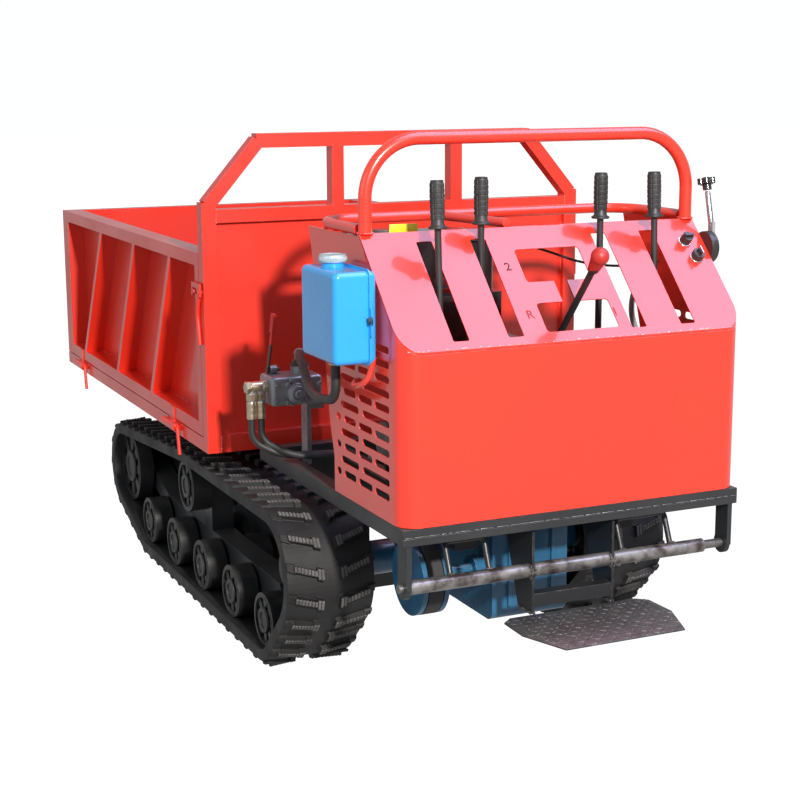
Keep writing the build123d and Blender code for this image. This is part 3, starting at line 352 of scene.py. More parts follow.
def weld_seams(name, seams, radius=0.0032):
    """Weld beads along straight seams, each bead a flattened ripple a little off the one before."""
    bpy.ops.object.select_all(action="DESELECT")
    bpy.ops.mesh.primitive_ico_sphere_add(subdivisions=1, radius=1)
    ripple = picked("ripple")
    places = []
    for start, end in seams:
        run = Vector(end) - Vector(start)
        count = max(2, round(run.length / (radius * 0.9)))
        for index in range(count + 1):
            swell = radius * chance.uniform(0.8, 1.2)
            jitter = Vector([chance.uniform(-0.12, 0.12) * radius for _ in range(3)])
            places.append(Matrix.Translation(Vector(start) + run * (index / count) + jitter)
                          @ Matrix.Diagonal((swell, swell, swell, 1)))
    piece = copied(name, ripple, places)
    bpy.ops.object.shade_smooth_by_angle(angle=math.radians(60))
    return piece


cover_low, cover_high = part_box("hood_shell")
front = cover_low.y
seam_z = cover_low.z - 0.002 - 0.018
seam_parts = []
reach, seam_end = -0.444, 0.446
while reach < 0.440:
    length = chance.uniform(0.008, 0.045)
    seam_parts.append(plate("seam", (reach, front + 0.0012, seam_z - 0.0007),
                            (min(reach + length, seam_end), front + 0.0024, seam_z + 0.0007), 0.0003))
    reach += length + chance.uniform(0.002, 0.012)
fitted(joined("front_beam_seam", seam_parts), worn_steel, "chassis")
lip = plate("front_beam_lip", (-0.448, front + 0.0008, seam_z - 0.0042),
            (0.448, front + 0.0025, seam_z - 0.0022))
fitted(lip, black_paint, "chassis")

# ---- Power train -----------------------------------------------------------------------------
# A petrol engine on the rails drives the gearbox below it by a belt on the left. The engine is
# grey cast metal in a black fan housing, and the gearbox and its pulley are sprayed blue.

cast_grey = new_finish("cast_grey", (0.20, 0.20, 0.21), (0.12, 0.12, 0.125), (0.42, 0.42, 0.42), 0.5, metal=0.5,
                       patch=20, grain=260, dent=0.0004)
black_enamel = new_finish("black_enamel", (0.012, 0.012, 0.013), (0.020, 0.020, 0.021), (0.10, 0.10, 0.10),
                          0.28, coat=0.4)
blue_enamel = new_finish("blue_enamel", (0.018, 0.12, 0.24), (0.010, 0.07, 0.15), (0.20, 0.24, 0.28), 0.33,
                         coat=0.3, patch=14, dust=0.3)
belt_rubber = new_finish("belt_rubber", (0.022, 0.022, 0.023), (0.035, 0.034, 0.033), (0.07, 0.07, 0.07), 0.75,
                         grain=420, dent=0.0003)
cover_nodes(cast_grey, "engine_block", "engine_pulley")
cover_nodes(black_enamel, "engine_shroud")
tank_grey = new_finish("tank_grey", (0.11, 0.11, 0.115), (0.08, 0.08, 0.085), (0.3, 0.3, 0.3), 0.3, coat=0.5)
cover_nodes(tank_grey, "fuel_tank")
cover_nodes(blue_enamel, "gearbox", "gearbox_pulley")
cover_nodes(belt_rubber, "drive_belt")

# ---- Rubber tracks ---------------------------------------------------------------------------
# Each track is one moulded loop: a flat carcass with two rows of ribbed T-shaped lugs set in a
# chevron outside, and two rows of guide horns inside, which the sprocket's teeth run between.

TRACK_THICK = 0.049
CARCASS_THICK = 0.033
LUG_HEIGHT = TRACK_THICK - CARCASS_THICK
LUG_PITCH = 0.0755
RIB_PITCH = 0.0088
HORN_HEIGHT = 0.034
HORN_PITCH = LUG_PITCH * 0.92
SPROCKET_RADIUS = 0.1355


def wheel_circle(node):
    """The middle (y, z) and radius of a plain wheel, from its CAD box."""
    low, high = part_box(node)
    return (low.y + high.y) / 2, (low.z + high.z) / 2, (high.z - low.z) / 2


def belt_outline(circles, grow, widest_turn=math.radians(5)):
    """Points (y, z, facing angle) along a belt that runs a set distance outside its wheels."""
    facings = []
    for (y0, z0, r0), (y1, z1, r1) in zip(circles, circles[1:] + circles[:1]):
        run = math.hypot(y1 - y0, z1 - z0)
        facings.append(math.atan2(z1 - z0, y1 - y0) - math.acos((r0 - r1) / run))
    points = []
    for index, (y, z, r) in enumerate(circles):
        first = facings[index - 1]
        arc = (facings[index] - first) % math.tau
        steps = max(1, round(arc / widest_turn))
        for step in range(steps + 1):
            facing = first + arc * step / steps
            points.append((y + (r + grow) * math.cos(facing), z + (r + grow) * math.sin(facing), facing))
    return points


def belt_stations(outline, pitch):
    """Evenly spaced places (y, z, facing angle) along a closed outline, about a pitch apart."""
    runs = [math.dist(a[:2], b[:2]) for a, b in zip(outline, outline[1:] + outline[:1])]
    count = round(sum(runs) / pitch)
    spacing = sum(runs) / count
    places, index, passed = [], 0, 0.0
    for station in range(count):
        while passed + runs[index] < station * spacing:
            passed += runs[index]
            index += 1
        share = (station * spacing - passed) / runs[index]
        start, end = outline[index], outline[(index + 1) % len(outline)]
        bend = (end[2] - start[2] + math.pi) % math.tau - math.pi
        places.append((start[0] + (end[0] - start[0]) * share, start[1] + (end[1] - start[1]) * share,
                       start[2] + bend * share))
    return places


def prism(name, outline, height, top_scale=1.0):
    """An outline in the XY plane, pulled up, its top a little smaller for the mould's draft."""
    bpy.ops.object.select_all(action="DESELECT")
    bpy.ops.mesh.primitive_circle_add(vertices=len(outline), radius=1, fill_type="NGON")
    piece = picked(name)
    for vertex, (x, y) in zip(piece.data.vertices, outline):
        vertex.co = (x, y, 0)
    bpy.ops.object.mode_set(mode="EDIT")
    bpy.ops.mesh.select_all(action="SELECT")
    bpy.ops.mesh.extrude_region_move(TRANSFORM_OT_translate={"value": (0, 0, height)})
    if top_scale != 1.0:
        bpy.ops.transform.resize(value=(top_scale, top_scale, 1))
    bpy.ops.object.mode_set(mode="OBJECT")
    return outward(piece)


def lug_model():
    """One pitch of tread: a chevron pair of T-shaped lugs with ribbed tops and low outer feet."""
    slant = math.tan(math.radians(18))
    parts = []
    for side in (-1, 1):
        # across the track, along it: the foot of the T, then the arm to the edge and back
        outline = [(0.021, 0.017), (0.021, -0.016), (0.038, -0.016), (0.038, -0.009), (0.103, -0.009),
                   (0.103, 0.009), (0.038, 0.009), (0.038, 0.017)]
        outline = [(side * x, y + (x - 0.05) * slant) for x, y in outline]
        parts.append(prism("lug", outline, LUG_HEIGHT - 0.002, 0.9))
        foot = [(0.095, -0.014), (0.118, -0.011), (0.118, 0.011), (0.095, 0.014)]
        parts.append(prism("foot", [(side * x, y + (x - 0.05) * slant) for x, y in foot], 0.007, 0.86))
        for rib in range(9):
            x = 0.0265 + RIB_PITCH * rib
            half = 0.0135 if rib < 2 else 0.0072
            middle = (x - 0.05) * slant
            bar = [(side * (x - 0.0036), middle - half), (side * (x + 0.0036), middle - half),
                   (side * (x + 0.0036), middle + half), (side * (x - 0.0036), middle + half)]
            piece = prism("rib", bar, 0.0025, 0.8)
            piece.data.transform(Matrix.Translation((0, 0, LUG_HEIGHT - 0.0025)))
            piece.data.materials.append(dusty_rubber)
            parts.append(piece)
    for part in parts:
        if not part.data.materials:
            part.data.materials.append(rubber)
    return joined("lug", parts)


def horn_model():
    """One pitch of guide horns: two blunt pyramids pointing into the loop."""
    parts = []
    for side in (-1, 1):
        base = [(side * 0.018, -0.014), (side * 0.034, -0.014), (side * 0.034, 0.014), (side * 0.018, 0.014)]
        horn = prism("horn", base, HORN_HEIGHT, 0.6)
        horn.data.transform(Matrix.Diagonal((1, 1, -1, 1)))
        parts.append(outward(horn))
    return joined("horn", parts)


rubber = new_finish("track_rubber", (0.0075, 0.007, 0.0075), (0.012, 0.0115, 0.012), (0.035, 0.034, 0.035),
                    0.62, grain=350, dent=0.0003, patch=11, wear=0.9, edge=0.003)
dusty_rubber = new_finish("dusty_rubber", (0.125, 0.12, 0.122), (0.045, 0.043, 0.045), (0.22, 0.215, 0.22),
                          0.75, grain=500, dent=0.0004, patch=16, wear=0.9, edge=0.001, dust=0.35)
sprocket = (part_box("left_sprocket")[1].y - SPROCKET_RADIUS,
            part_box("left_track")[1].z - TRACK_THICK - SPROCKET_RADIUS, SPROCKET_RADIUS)
wheels = [sprocket, *(wheel_circle(f"left_{name}") for name in ("roller_1", "roller_5", "idler",
                                                                "carrier_roller"))]
for side in ("left", "right"):
    low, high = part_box(f"{side}_track")
    middle_x = (low.x + high.x) / 2
    outline = belt_outline(wheels, CARCASS_THICK)
    bpy.ops.object.select_all(action="DESELECT")
    bpy.ops.mesh.primitive_circle_add(vertices=len(outline), radius=1)
    carcass = picked(f"{side}_track_carcass")
    for vertex, (y, z, facing) in zip(carcass.data.vertices, outline):
        vertex.co = (low.x, y, z)
    bpy.ops.object.mode_set(mode="EDIT")
    bpy.ops.mesh.select_all(action="SELECT")
    bpy.ops.mesh.extrude_region_move(TRANSFORM_OT_translate={"value": (high.x - low.x, 0, 0)})
    bpy.ops.object.mode_set(mode="OBJECT")
    outward(carcass, merge=0.0001)
    thick = carcass.modifiers.new("thickness", "SOLIDIFY")
    thick.thickness = CARCASS_THICK - 0.0004
    thick.offset = -1
    soft_edge = carcass.modifiers.new("soft_edge", "BEVEL")
    soft_edge.width = 0.004
    soft_edge.segments = 2
    soft_edge.angle_limit = math.radians(60)
    for modifier in ("thickness", "soft_edge"):
        bpy.ops.object.modifier_apply(modifier=modifier)

    def on_belt(grow, pitch):
        """Where each pitch sits, its Z away from the wheels and its Y along the belt."""
        places = []
        for y, z, facing in belt_stations(belt_outline(wheels, grow), pitch):
            away = Vector((0, math.cos(facing), math.sin(facing)))
            across = Vector((1, 0, 0))
            places.append(Matrix.Translation((middle_x, y, z)) @ ways(across, away.cross(across), away))
        return places

    lugs = copied(f"{side}_track_lugs", lug_model(), on_belt(CARCASS_THICK - 0.0013, LUG_PITCH))
    horns = copied(f"{side}_track_horns", horn_model(), on_belt(0.001, HORN_PITCH))
    for part in (carcass, horns):
        part.data.materials.append(rubber)
    track = joined(f"{side}_rubber_track", [carcass, lugs, horns])
    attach(track, "chassis")
    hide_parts(f"{side}_track")

# ---- Track wheels ----------------------------------------------------------------------------
# Cast iron rollers and idlers, each with a web of eight spokes between its hub ring and its rim,
# sprayed black. The sprocket is a thin toothed disc on a bolted hub.

SPOKES = 8
RECESS = 0.014
RIM = 0.0125
wheel_black = new_finish("wheel_black", (0.012, 0.012, 0.013), (0.020, 0.020, 0.021), (0.055, 0.055, 0.056),
                         0.45, grain=260, dent=0.0003, patch=14, wear=0.8, edge=0.0018, dust=0.12)
# the dark paint of the sheet behind the sprocket, which stands in for shade inside the machine (painted shade)
shade_sheet_paint = new_finish("shade_sheet_paint", (0.045, 0.046, 0.052), (0.030, 0.030, 0.034), (0.10, 0.10, 0.11), 0.5,
                         patch=9)
cover_nodes(wheel_black, *(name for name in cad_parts
                           if name.endswith(("sprocket", "idler")) or "roller" in name))
for side in ("left", "right"):
    for wheel in ("idler", "carrier_roller", *(f"roller_{number}" for number in range(1, 6))):
        body = f"{side}_{wheel}"
        low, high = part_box(body)
        y, z, radius = wheel_circle(body)
        hub, tip = radius * 0.47, radius - 0.011
        parts = []
        for face, out in ((low.x, -1), (high.x, 1)):
            axle = (face - out * RECESS, y, z), (face - out * RECESS + out, y, z)
            spokes = []
            for spoke in range(SPOKES):
                middle = math.tau * spoke / SPOKES
                wedge = [(r * math.cos(middle + turn_by), r * math.sin(middle + turn_by))
                         for r, turn_by in ((hub - 0.002, -0.25), (tip, -0.20), (tip, 0.0), (tip, 0.20),
                                            (hub - 0.002, 0.25), (hub - 0.002, 0.0))]
                spokes.append(prism("spoke", wedge, RECESS - 0.004, 0.94))
            web = joined("web", spokes)
            web.data.transform(aimed(*axle))
            hub_ring = [(hub * 0.62, RECESS - 0.002), (hub * 0.66, RECESS + 0.003),
                        (hub * 0.98, RECESS + 0.003), (hub * 1.04, RECESS - 0.002), (hub * 0.62, RECESS - 0.002)]
            rim_ring = [(radius - RIM, 0.004), (radius - RIM, RECESS + 0.0015),
                        (radius - 0.009, RECESS + 0.0015), (radius - 0.007, RECESS - 0.001), (radius - RIM, 0.004)]
            hub_cap = [(0, RECESS), (hub * 0.55, RECESS - 0.0005), (hub * 0.60, RECESS - 0.002),
                       (hub * 0.62, RECESS - 0.004), (0, RECESS - 0.004)]
            parts += [web, turned("hub_ring", hub_ring, *axle), turned("rim_ring", rim_ring, *axle, steps=48),
                      turned("hub_cap", hub_cap, *axle)]
        fitted(joined(f"{body}_web", parts), wheel_black, body)
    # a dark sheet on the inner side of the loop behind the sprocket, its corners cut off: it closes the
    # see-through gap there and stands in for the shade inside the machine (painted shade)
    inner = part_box(f"{side}_track")[1 if side == "left" else 0].x + (0.004 if side == "left" else -0.007)
    outline = [(-0.085, 0.135), (-0.060, 0.105), (0.330, 0.105), (0.360, 0.135), (0.360, 0.345), (0.330, 0.375),
               (0.020, 0.375), (-0.060, 0.330), (-0.085, 0.290)]
    shade_sheet = prism("shade_sheet", [(z, y) for y, z in outline], 0.003)
    shade_sheet.data.transform(Matrix.Translation((inner, 0, 0)) @ Matrix.Rotation(math.radians(-90), 4, "Y")
                         @ Matrix.Diagonal((1, 1, -1, 1)))
    fitted(chamfered(outward(shade_sheet), 0.0008), shade_sheet_paint, "chassis")

# ---- Engine cover ----------------------------------------------------------------------------
# One sheet folded round the front and both sides, with punched louvres, and a sloping console
# with the lever slots on top, all powder-coated bright red. The gear marks are painted on.

red_paint = new_finish("red_paint", (0.83, 0.037, 0.016), (0.76, 0.030, 0.013), (0.92, 0.45, 0.42), 0.32,
                       coat=0.9, grain=700, dent=0.00004, patch=3, wear=0.5, edge=0.0013)
cover_nodes(red_paint, "hood_shell", "console_panel", "hood_rails")
mark_black = new_finish("mark_black", (0.008, 0.002, 0.003), (0.02, 0.003, 0.004), (0.1, 0.02, 0.02), 0.5)
mark_red = new_finish("mark_red", (0.30, 0.006, 0.010), (0.16, 0.004, 0.006), (0.4, 0.03, 0.03), 0.5)
cable_black = new_finish("cable_black", (0.012, 0.012, 0.013), (0.02, 0.02, 0.021), (0.06, 0.06, 0.06), 0.4)

fold = Vector((0, front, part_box("console_panel")[1].z - 0.240))
slope_up = Vector((0, 0.232, 0.240)).normalized()
slope_out = Vector((0, -0.240, 0.232)).normalized()
console_way = ways(Vector((1, 0, 0)), slope_up, slope_out)


def on_console(x, up, out=0.0):
    """A point on the sloping console: across, up from its front fold, and off its face."""
    return fold + Vector((x, 0, 0)) + slope_up * up + slope_out * out


for name, letters, x, up, paint in (("gear_mark_2", "2", -0.111, 0.217, mark_black),
                                    ("gear_mark_R", "R", -0.104, 0.079, mark_red),
                                    ("gear_mark_1", "1", 0.1175, 0.070, mark_red)):
    text = bpy.data.objects.new(name, bpy.data.curves.new(name, "FONT"))
    bpy.context.scene.collection.objects.link(text)
    text.data.body = letters
    text.data.size = 0.032
    text.data.extrude = 0.0002
    text.data.offset = 0.0004
    text.data.align_x = "CENTER"
    text.data.align_y = "CENTER"
    only(text)
    bpy.ops.object.convert(target="MESH")
    text.data.transform(Matrix.Translation(on_console(x, up, 0.0002)) @ console_way)
    fitted(text, paint, "chassis")


def bent_rod(name, points, radius):
    """A round rod, cable or hose along a smooth curve, as a closed mesh."""
    line = bpy.data.curves.new(name, "CURVE")
    line.dimensions = "3D"
    line.bevel_depth = radius
    line.bevel_resolution = 3
    line.use_fill_caps = True
    spline = line.splines.new("NURBS")
    spline.points.add(len(points) - 1)
    for spot, point in zip(spline.points, points):
        spot.co = (*point, 1)
    spline.order_u = 3
    spline.use_endpoint_u = True
    spline.resolution_u = 8
    piece = bpy.data.objects.new(name, line)
    bpy.context.scene.collection.objects.link(piece)
    only(piece)
    bpy.ops.object.convert(target="MESH")
    outward(piece, merge=0.00001)
    bpy.ops.object.shade_smooth_by_angle(angle=math.radians(50))
    return picked(name)


switch_run = [(-0.21, front + 0.263, 1.145), (-0.12, front + 0.262, 1.135), (0.0, front + 0.255, 1.122),
              (0.07, front + 0.250, 1.099), (0.13, front + 0.248, 1.077), (0.20, front + 0.247, 1.064),
              (0.27, front + 0.246, 1.058), (0.36, front + 0.240, 1.066)]
fitted(bent_rod("switch_cable", switch_run, 0.0032), cable_black, "chassis")
# paint knocked off along the console's front fold
chips = []
for _ in range(70):
    x, size = chance.uniform(-0.435, 0.435), chance.uniform(0.0012, 0.0045)
    outline = [(size * chance.uniform(0.5, 1.6) * math.cos(math.tau * step / 6),
                size * 0.32 * chance.uniform(0.5, 1.4) * math.sin(math.tau * step / 6)) for step in range(6)]
    chip = prism("chip", outline, 0.0003)
    seat = on_console(x, chance.uniform(0.0005, 0.004), 0.0001)
    chip.data.transform(Matrix.Translation(seat) @ console_way)
    chips.append(chip)
bare_primer = new_finish("bare_primer", (0.80, 0.62, 0.60), (0.62, 0.40, 0.38), (0.9, 0.8, 0.8), 0.6, patch=50)
fitted(joined("fold_chips", chips), bare_primer, "chassis")
label_yellow = new_finish("label_yellow", (0.90, 0.80, 0.02), (0.80, 0.62, 0.02), (0.9, 0.8, 0.3), 0.35,
                          coat=0.5)
label = plate("tank_label", (-0.340, front + 0.3085, 1.1455), (-0.267, front + 0.3105, 1.181), 0.0003)
fitted(label, label_yellow, "chassis")
grey_sleeve = new_finish("grey_sleeve", (0.33, 0.34, 0.36), (0.20, 0.205, 0.22), (0.6, 0.6, 0.62), 0.35,
                         coat=0.4, grain=450, dent=0.0003)
for name, points in (("throttle_cable", [(0.352, -0.93, 1.062), (0.372, -0.93, 1.038), (0.396, -0.93, 1.005),
                                         (0.418, -0.93, 0.965), (0.424, -0.93, 0.919), (0.414, -0.93, 0.873),
                                         (0.390, -0.92, 0.800)]),
                     ("clutch_cable", [(0.362, -0.90, 1.020), (0.345, -0.90, 0.995), (0.332, -0.90, 0.962),
                                       (0.333, -0.90, 0.920), (0.352, -0.90, 0.874), (0.372, -0.90, 0.800)])):
    fitted(bent_rod(name, points, 0.0075), grey_sleeve, "chassis")
decal_red, decal_pink, decal_grey = (
    new_finish(name, colour, shade, worn, 0.4, coat=0.4)
    for name, colour, shade, worn in (
        ("decal_red", (0.62, 0.015, 0.012), (0.54, 0.012, 0.010), (0.72, 0.22, 0.20)),
        ("decal_pink", (0.80, 0.16, 0.19), (0.71, 0.13, 0.16), (0.86, 0.42, 0.44)),
        ("decal_grey", (0.20, 0.21, 0.22), (0.16, 0.168, 0.178), (0.38, 0.39, 0.40))))
for name, paint, node, low_z, high_z in (("tank_stripe_1", decal_red, "fuel_tank", 1.062, 1.067),
                                         ("tank_stripe_2", decal_pink, "fuel_tank", 1.029, 1.049),
                                         ("tank_stripe_3", decal_red, "fuel_tank", 1.012, 1.024),
                                         ("shroud_stripe", decal_grey, "engine_shroud", 0.990, 1.004)):
    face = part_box(node)[0].y
    stripe = plate(name, (-0.222, face - 0.0006, low_z), (-0.150, face + 0.0001, high_z), 0.0001)
    fitted(stripe, paint, "chassis")
cover_seams = []
for side in (-1, 1):
    foot = Vector((side * 0.433, front + 0.237, cover_high.z + 0.0075))
    ring_points = [foot + Vector((0.0175 * math.cos(a), 0.0175 * math.sin(a), 0))
                   for a in (math.tau * step / 12 for step in range(13))]
    cover_seams += list(zip(ring_points, ring_points[1:]))
cover_seams += [((-0.437, front + 0.275 + 0.06 * step, cover_high.z + 0.001),
                 (-0.437, front + 0.293 + 0.06 * step, cover_high.z + 0.001)) for step in range(4)]
cover_seams.append(((-0.122, front + 0.5205, 1.178), (-0.098, front + 0.5205, 1.178)))
fitted(weld_seams("cover_welds", cover_seams, 0.0028), red_paint, "chassis")

# ---- Controls --------------------------------------------------------------------------------
# Four painted steel shift levers with padded rubber grips, the gear lever with its red ball, the
# throttle with its bright rod and star knob, the light switch and the ignition key.


def banded_finish(name, bands, rough=0.4, coat=0.0):
    """A finish whose colour changes with height. Each band is (where it starts, colour), from below."""
    first = bands[0][1]
    darker = tuple(0.75 * level for level in first)
    material = new_finish(name, first, darker, (0.3, 0.3, 0.3), rough, coat=coat)
    tree = material.node_tree
    shader = tree.nodes["Principled BSDF"]
    colour = shader.inputs["Base Color"].links[0].from_socket
    place, split = tree.nodes.new("ShaderNodeTexCoord"), tree.nodes.new("ShaderNodeSeparateXYZ")
    tree.links.new(place.outputs["Object"], split.inputs["Vector"])
    for start, tint in bands[1:]:
        step = ranged(tree, split.outputs["Z"], start - 0.0003, start + 0.0003, 0, 1)
        colour = mixed(tree, step, colour, tint)
    tree.links.new(colour, shader.inputs["Base Color"])
    return material


lever_black = new_finish("lever_black", (0.014, 0.014, 0.015), (0.024, 0.024, 0.025), (0.12, 0.12, 0.12), 0.38,
                         coat=0.3)
grip_rubber = new_finish("grip_rubber", (0.017, 0.017, 0.018), (0.028, 0.028, 0.029), (0.10, 0.10, 0.10), 0.5,
                         grain=650, dent=0.00015)
steel_bright = new_finish("steel_bright", (0.62, 0.62, 0.63), (0.45, 0.45, 0.46), (0.8, 0.8, 0.8), 0.22,
                          metal=1.0, patch=40)
cover_nodes(lever_black, "clutch_lever", "left_steering_lever", "right_steering_lever", "brake_lever",
            "control_mounts", "light_switch_knob")
cover_nodes(banded_finish("gear_lever_paint", [(0, (0.014, 0.014, 0.015)), (1.0905, (0.44, 0.022, 0.016))],
                          rough=0.42), "gear_lever")
cover_nodes(banded_finish("throttle_parts", [(0, (0.02, 0.02, 0.022)), (1.112, (0.30, 0.31, 0.33)),
                                             (1.166, (0.62, 0.64, 0.68)), (1.2405, (0.012, 0.012, 0.013))],
                          rough=0.3, coat=0.3), "throttle_lever")
cover_nodes(steel_bright, "ignition_key", "lift_rod")


def round_axis(share, reach, height):
    """The matrix of a part that stands on a round body, its Y up, at a share of the way round +Z."""
    up = Vector((0, 0, 1))
    out = Vector((math.cos(math.tau * share), math.sin(math.tau * share), 0))
    return Matrix.Translation(out * reach + up * height) @ ways(up.cross(out), up, out)


def rectangle(half_width, half_length):
    """A rectangle's corners, about the middle."""
    return [(-half_width, -half_length), (half_width, -half_length), (half_width, half_length),
            (-half_width, half_length)]


GRIP_LENGTH = 0.108
PAD_ROWS, PAD_COLUMNS = 7, 10
lever_foot_z, lever_top_z = 0.650, 1.292
for lever, foot_y, top_y in (("clutch_lever", 0.108, 0.143), ("left_steering_lever", 0.189, 0.193),
                             ("right_steering_lever", 0.200, 0.199), ("brake_lever", 0.148, 0.177)):
    low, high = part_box(lever)
    x = (low.x + high.x) / 2
    lean = (top_y - foot_y) / (lever_top_z - lever_foot_z)
    seat = Vector((x, front + top_y - lean * GRIP_LENGTH, lever_top_z - GRIP_LENGTH))
    top = Vector((x, front + top_y, lever_top_z))
    grip = turned("grip", [(0, -0.0005), (0.0205, -0.0005), (0.0218, 0.001), (0.0215, 0.0045), (0.0175, 0.006),
                           (0.0152, 0.010), (0.0154, 0.030), (0.0162, 0.055), (0.0164, 0.085), (0.0158, 0.101),
                           (0.0148, 0.106), (0.0120, 0.1085), (0.0112, 0.1078), (0, 0.1082)], seat, top)
    pad = prism("pad", rectangle(0.0038, 0.0050), 0.0019, 0.86)
    places = []
    for row in range(PAD_ROWS):
        height = 0.026 + 0.0118 * row
        reach = 0.0152 + 0.0010 * math.sin(math.pi * (height - 0.01) / 0.11) - 0.0013
        for column in range(PAD_COLUMNS):
            places.append(aimed(seat, top) @ round_axis((column + 0.5) / PAD_COLUMNS, reach, height))
    fitted(joined(f"{lever}_grip", [grip, copied("pads", pad, places)]), grip_rubber, lever)

sleeve = turned("throttle_rod_sleeve",
                [(0.0045, 0), (0.0066, 0.001), (0.0070, 0.003), (0.0070, 0.078), (0.0062, 0.081),
                 (0.0045, 0.082), (0.0045, 0)],
                (0.4745, front + 0.1832, 1.158), (0.4745, front + 0.2032, 1.238))
fitted(sleeve, steel_bright, "throttle_lever")

# the bright rings of the two switches, the key switch's barrel and the throttle's friction disc
for name, x, up in (("light_switch_ring", 0.396, 0.262), ("key_switch_ring", 0.408, 0.212)):
    ring = turned(name, [(0.0140, 0.0002), (0.0172, 0.0002), (0.0172, 0.0028), (0.0150, 0.0040),
                         (0.0140, 0.0040), (0.0140, 0.0002)], on_console(x, up), on_console(x, up, 1))
    fitted(ring, steel_bright, "chassis")
barrel = turned("key_switch_barrel", [(0.0139, 0.004), (0.0155, 0.0045), (0.0155, 0.019), (0.0145, 0.0205),
                                      (0.0085, 0.0205), (0.0085, 0.004), (0.0139, 0.004)],
                on_console(0.408, 0.212), on_console(0.408, 0.212, 1))
fitted(barrel, lever_black, "chassis")
disc_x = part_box("control_mounts")[1].x
quadrant = turned("throttle_disc", [(0.0065, 0.0002), (0.0065, -0.0198), (0.034, -0.0198), (0.0392, -0.017),
                                    (0.0398, -0.006), (0.0385, -0.0025), (0.030, 0.0002), (0.0065, 0.0002)],
                  (disc_x, front + 0.178, 1.103), (disc_x + 1, front + 0.178, 1.103), steps=48)
fitted(quadrant, lever_black, "chassis")

# ---- Hydraulics ------------------------------------------------------------------------------
# A blue oil tank on the left, pressed in two halves, a cast gear pump with its valve over the
# left track, zinc-plated fittings, and black hoses between them and down to the lift cylinder.

tank_blue = new_finish("tank_blue", (0.022, 0.36, 0.85), (0.018, 0.31, 0.76), (0.3, 0.5, 0.7), 0.25, coat=0.7,
                       patch=5, wear=0.3)
hose_rubber = new_finish("hose_rubber", (0.014, 0.014, 0.0145), (0.022, 0.022, 0.022), (0.08, 0.08, 0.08), 0.5,
                         grain=600, dent=0.0002)
cast_alloy = new_finish("cast_alloy", (0.34, 0.36, 0.39), (0.20, 0.21, 0.225), (0.62, 0.62, 0.64), 0.42,
                        metal=0.6, patch=22, grain=320, dent=0.0005)
zinc = new_finish("zinc_plate", (0.60, 0.52, 0.38), (0.42, 0.36, 0.25), (0.75, 0.72, 0.66), 0.3, metal=0.9,
                  patch=45)
cover_nodes(tank_blue, "oil_tank")
cover_nodes(cast_alloy, "hydraulic_pump")
cover_nodes(hose_rubber, "suction_hose", "lift_hoses")
cover_nodes(banded_finish("valve_lever_paint", [(0, (0.10, 0.035, 0.028)), (0.8430, (0.62, 0.022, 0.016))]),
            "valve_lever")
cover_nodes(black_paint, "lift_barrel")

cap_low, cap_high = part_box("oil_tank_cap")
cap_seat = Vector(((cap_low.x + cap_high.x) / 2, (cap_low.y + cap_high.y) / 2, cap_low.z))
cap = turned("cap", [(0, 0), (0.0310, 0), (0.0318, 0.0015), (0.0318, 0.0135), (0.0300, 0.0168),
                     (0.0255, 0.0169), (0.0245, 0.0152), (0, 0.0152)],
             cap_seat, cap_seat + Vector((0, 0, 1)), steps=64)
KNURLS = 60
knurl = prism("knurl", rectangle(0.0009, 0.0055), 0.0013, 0.6)
knurls = copied("knurls", knurl, [Matrix.Translation(cap_seat) @ round_axis(tooth / KNURLS, 0.0315, 0.0075)
                                  for tooth in range(KNURLS)])
satin_alloy = new_finish("satin_alloy", (0.46, 0.54, 0.58), (0.36, 0.44, 0.48), (0.7, 0.75, 0.78), 0.42,
                         metal=0.35, patch=30)
cap_piece = fitted(joined("oil_tank_cap_turned", [cap, knurls]), satin_alloy, "oil_tank_cap")
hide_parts("oil_tank_cap")


def hexagonal(name, profile, start, toward):
    """A nut or a bolt's head: a profile of (radius over corners, height) along the line from start."""
    return turned(name, profile, start, toward, steps=6, smooth=0.1)


nut = hexagonal("tank_outlet_nut", [(0, -0.006), (0.0155, -0.006), (0.0165, -0.004), (0.0165, 0.006),
                                    (0.0155, 0.008), (0, 0.008)],
                (cap_seat.x, front + 0.240, 0.882), (cap_seat.x, front + 0.240, 0))
fitted(nut, zinc, "chassis")
tab_axis = (-0.4755, front + 0.110, 0.990), (-1.4755, front + 0.110, 0.990)
washer = turned("washer", [(0, 0), (0.0135, 0), (0.0135, 0.002), (0, 0.002)], *tab_axis)
bolt = hexagonal("bolt", [(0, 0.002), (0.0085, 0.002), (0.0085, 0.0065), (0.0075, 0.0075), (0, 0.0075)],
                 *tab_axis)
fitted(joined("tank_tab_bolt", [washer, bolt]), lever_black, "chassis")
strap_run = [(-0.462, front + 0.130, 0.905), (-0.466, front + 0.128, 0.872), (-0.475, front + 0.150, 0.842),
             (-0.480, front + 0.190, 0.828), (-0.470, front + 0.232, 0.824), (-0.452, front + 0.250, 0.830)]
fitted(bent_rod("tank_bracket_strap", strap_run, 0.0075), red_paint, "chassis")

# the pump's bolted covers and its plated fittings
pump = Vector((-0.435, front + 0.725, 0.733))
forward = Vector((0, -1, 0))
parts = []
for x, z in ((-0.495, 0.012), (-0.495, -0.030), (-0.375, 0.012), (-0.375, -0.030), (-0.452, 0.024),
             (-0.452, -0.036)):
    spot = Vector((x, pump.y - 0.048, pump.z + z))
    parts.append(hexagonal("pump_bolt", [(0, 0), (0.0062, 0), (0.0062, 0.0045), (0.0052, 0.0055), (0, 0.0055)],
                           spot, spot + forward))
nose = Vector((-0.440, pump.y - 0.062, pump.z - 0.008))
parts.append(turned("pump_cover", [(0, -0.002), (0.0262, -0.002), (0.0262, 0.002), (0.0205, 0.0035),
                                   (0.0205, 0.006), (0.0150, 0.0075), (0.0150, 0.005), (0.0105, 0.005),
                                   (0.0105, 0.0115), (0.0085, 0.013), (0, 0.013)],
                    nose, nose + forward, steps=40))
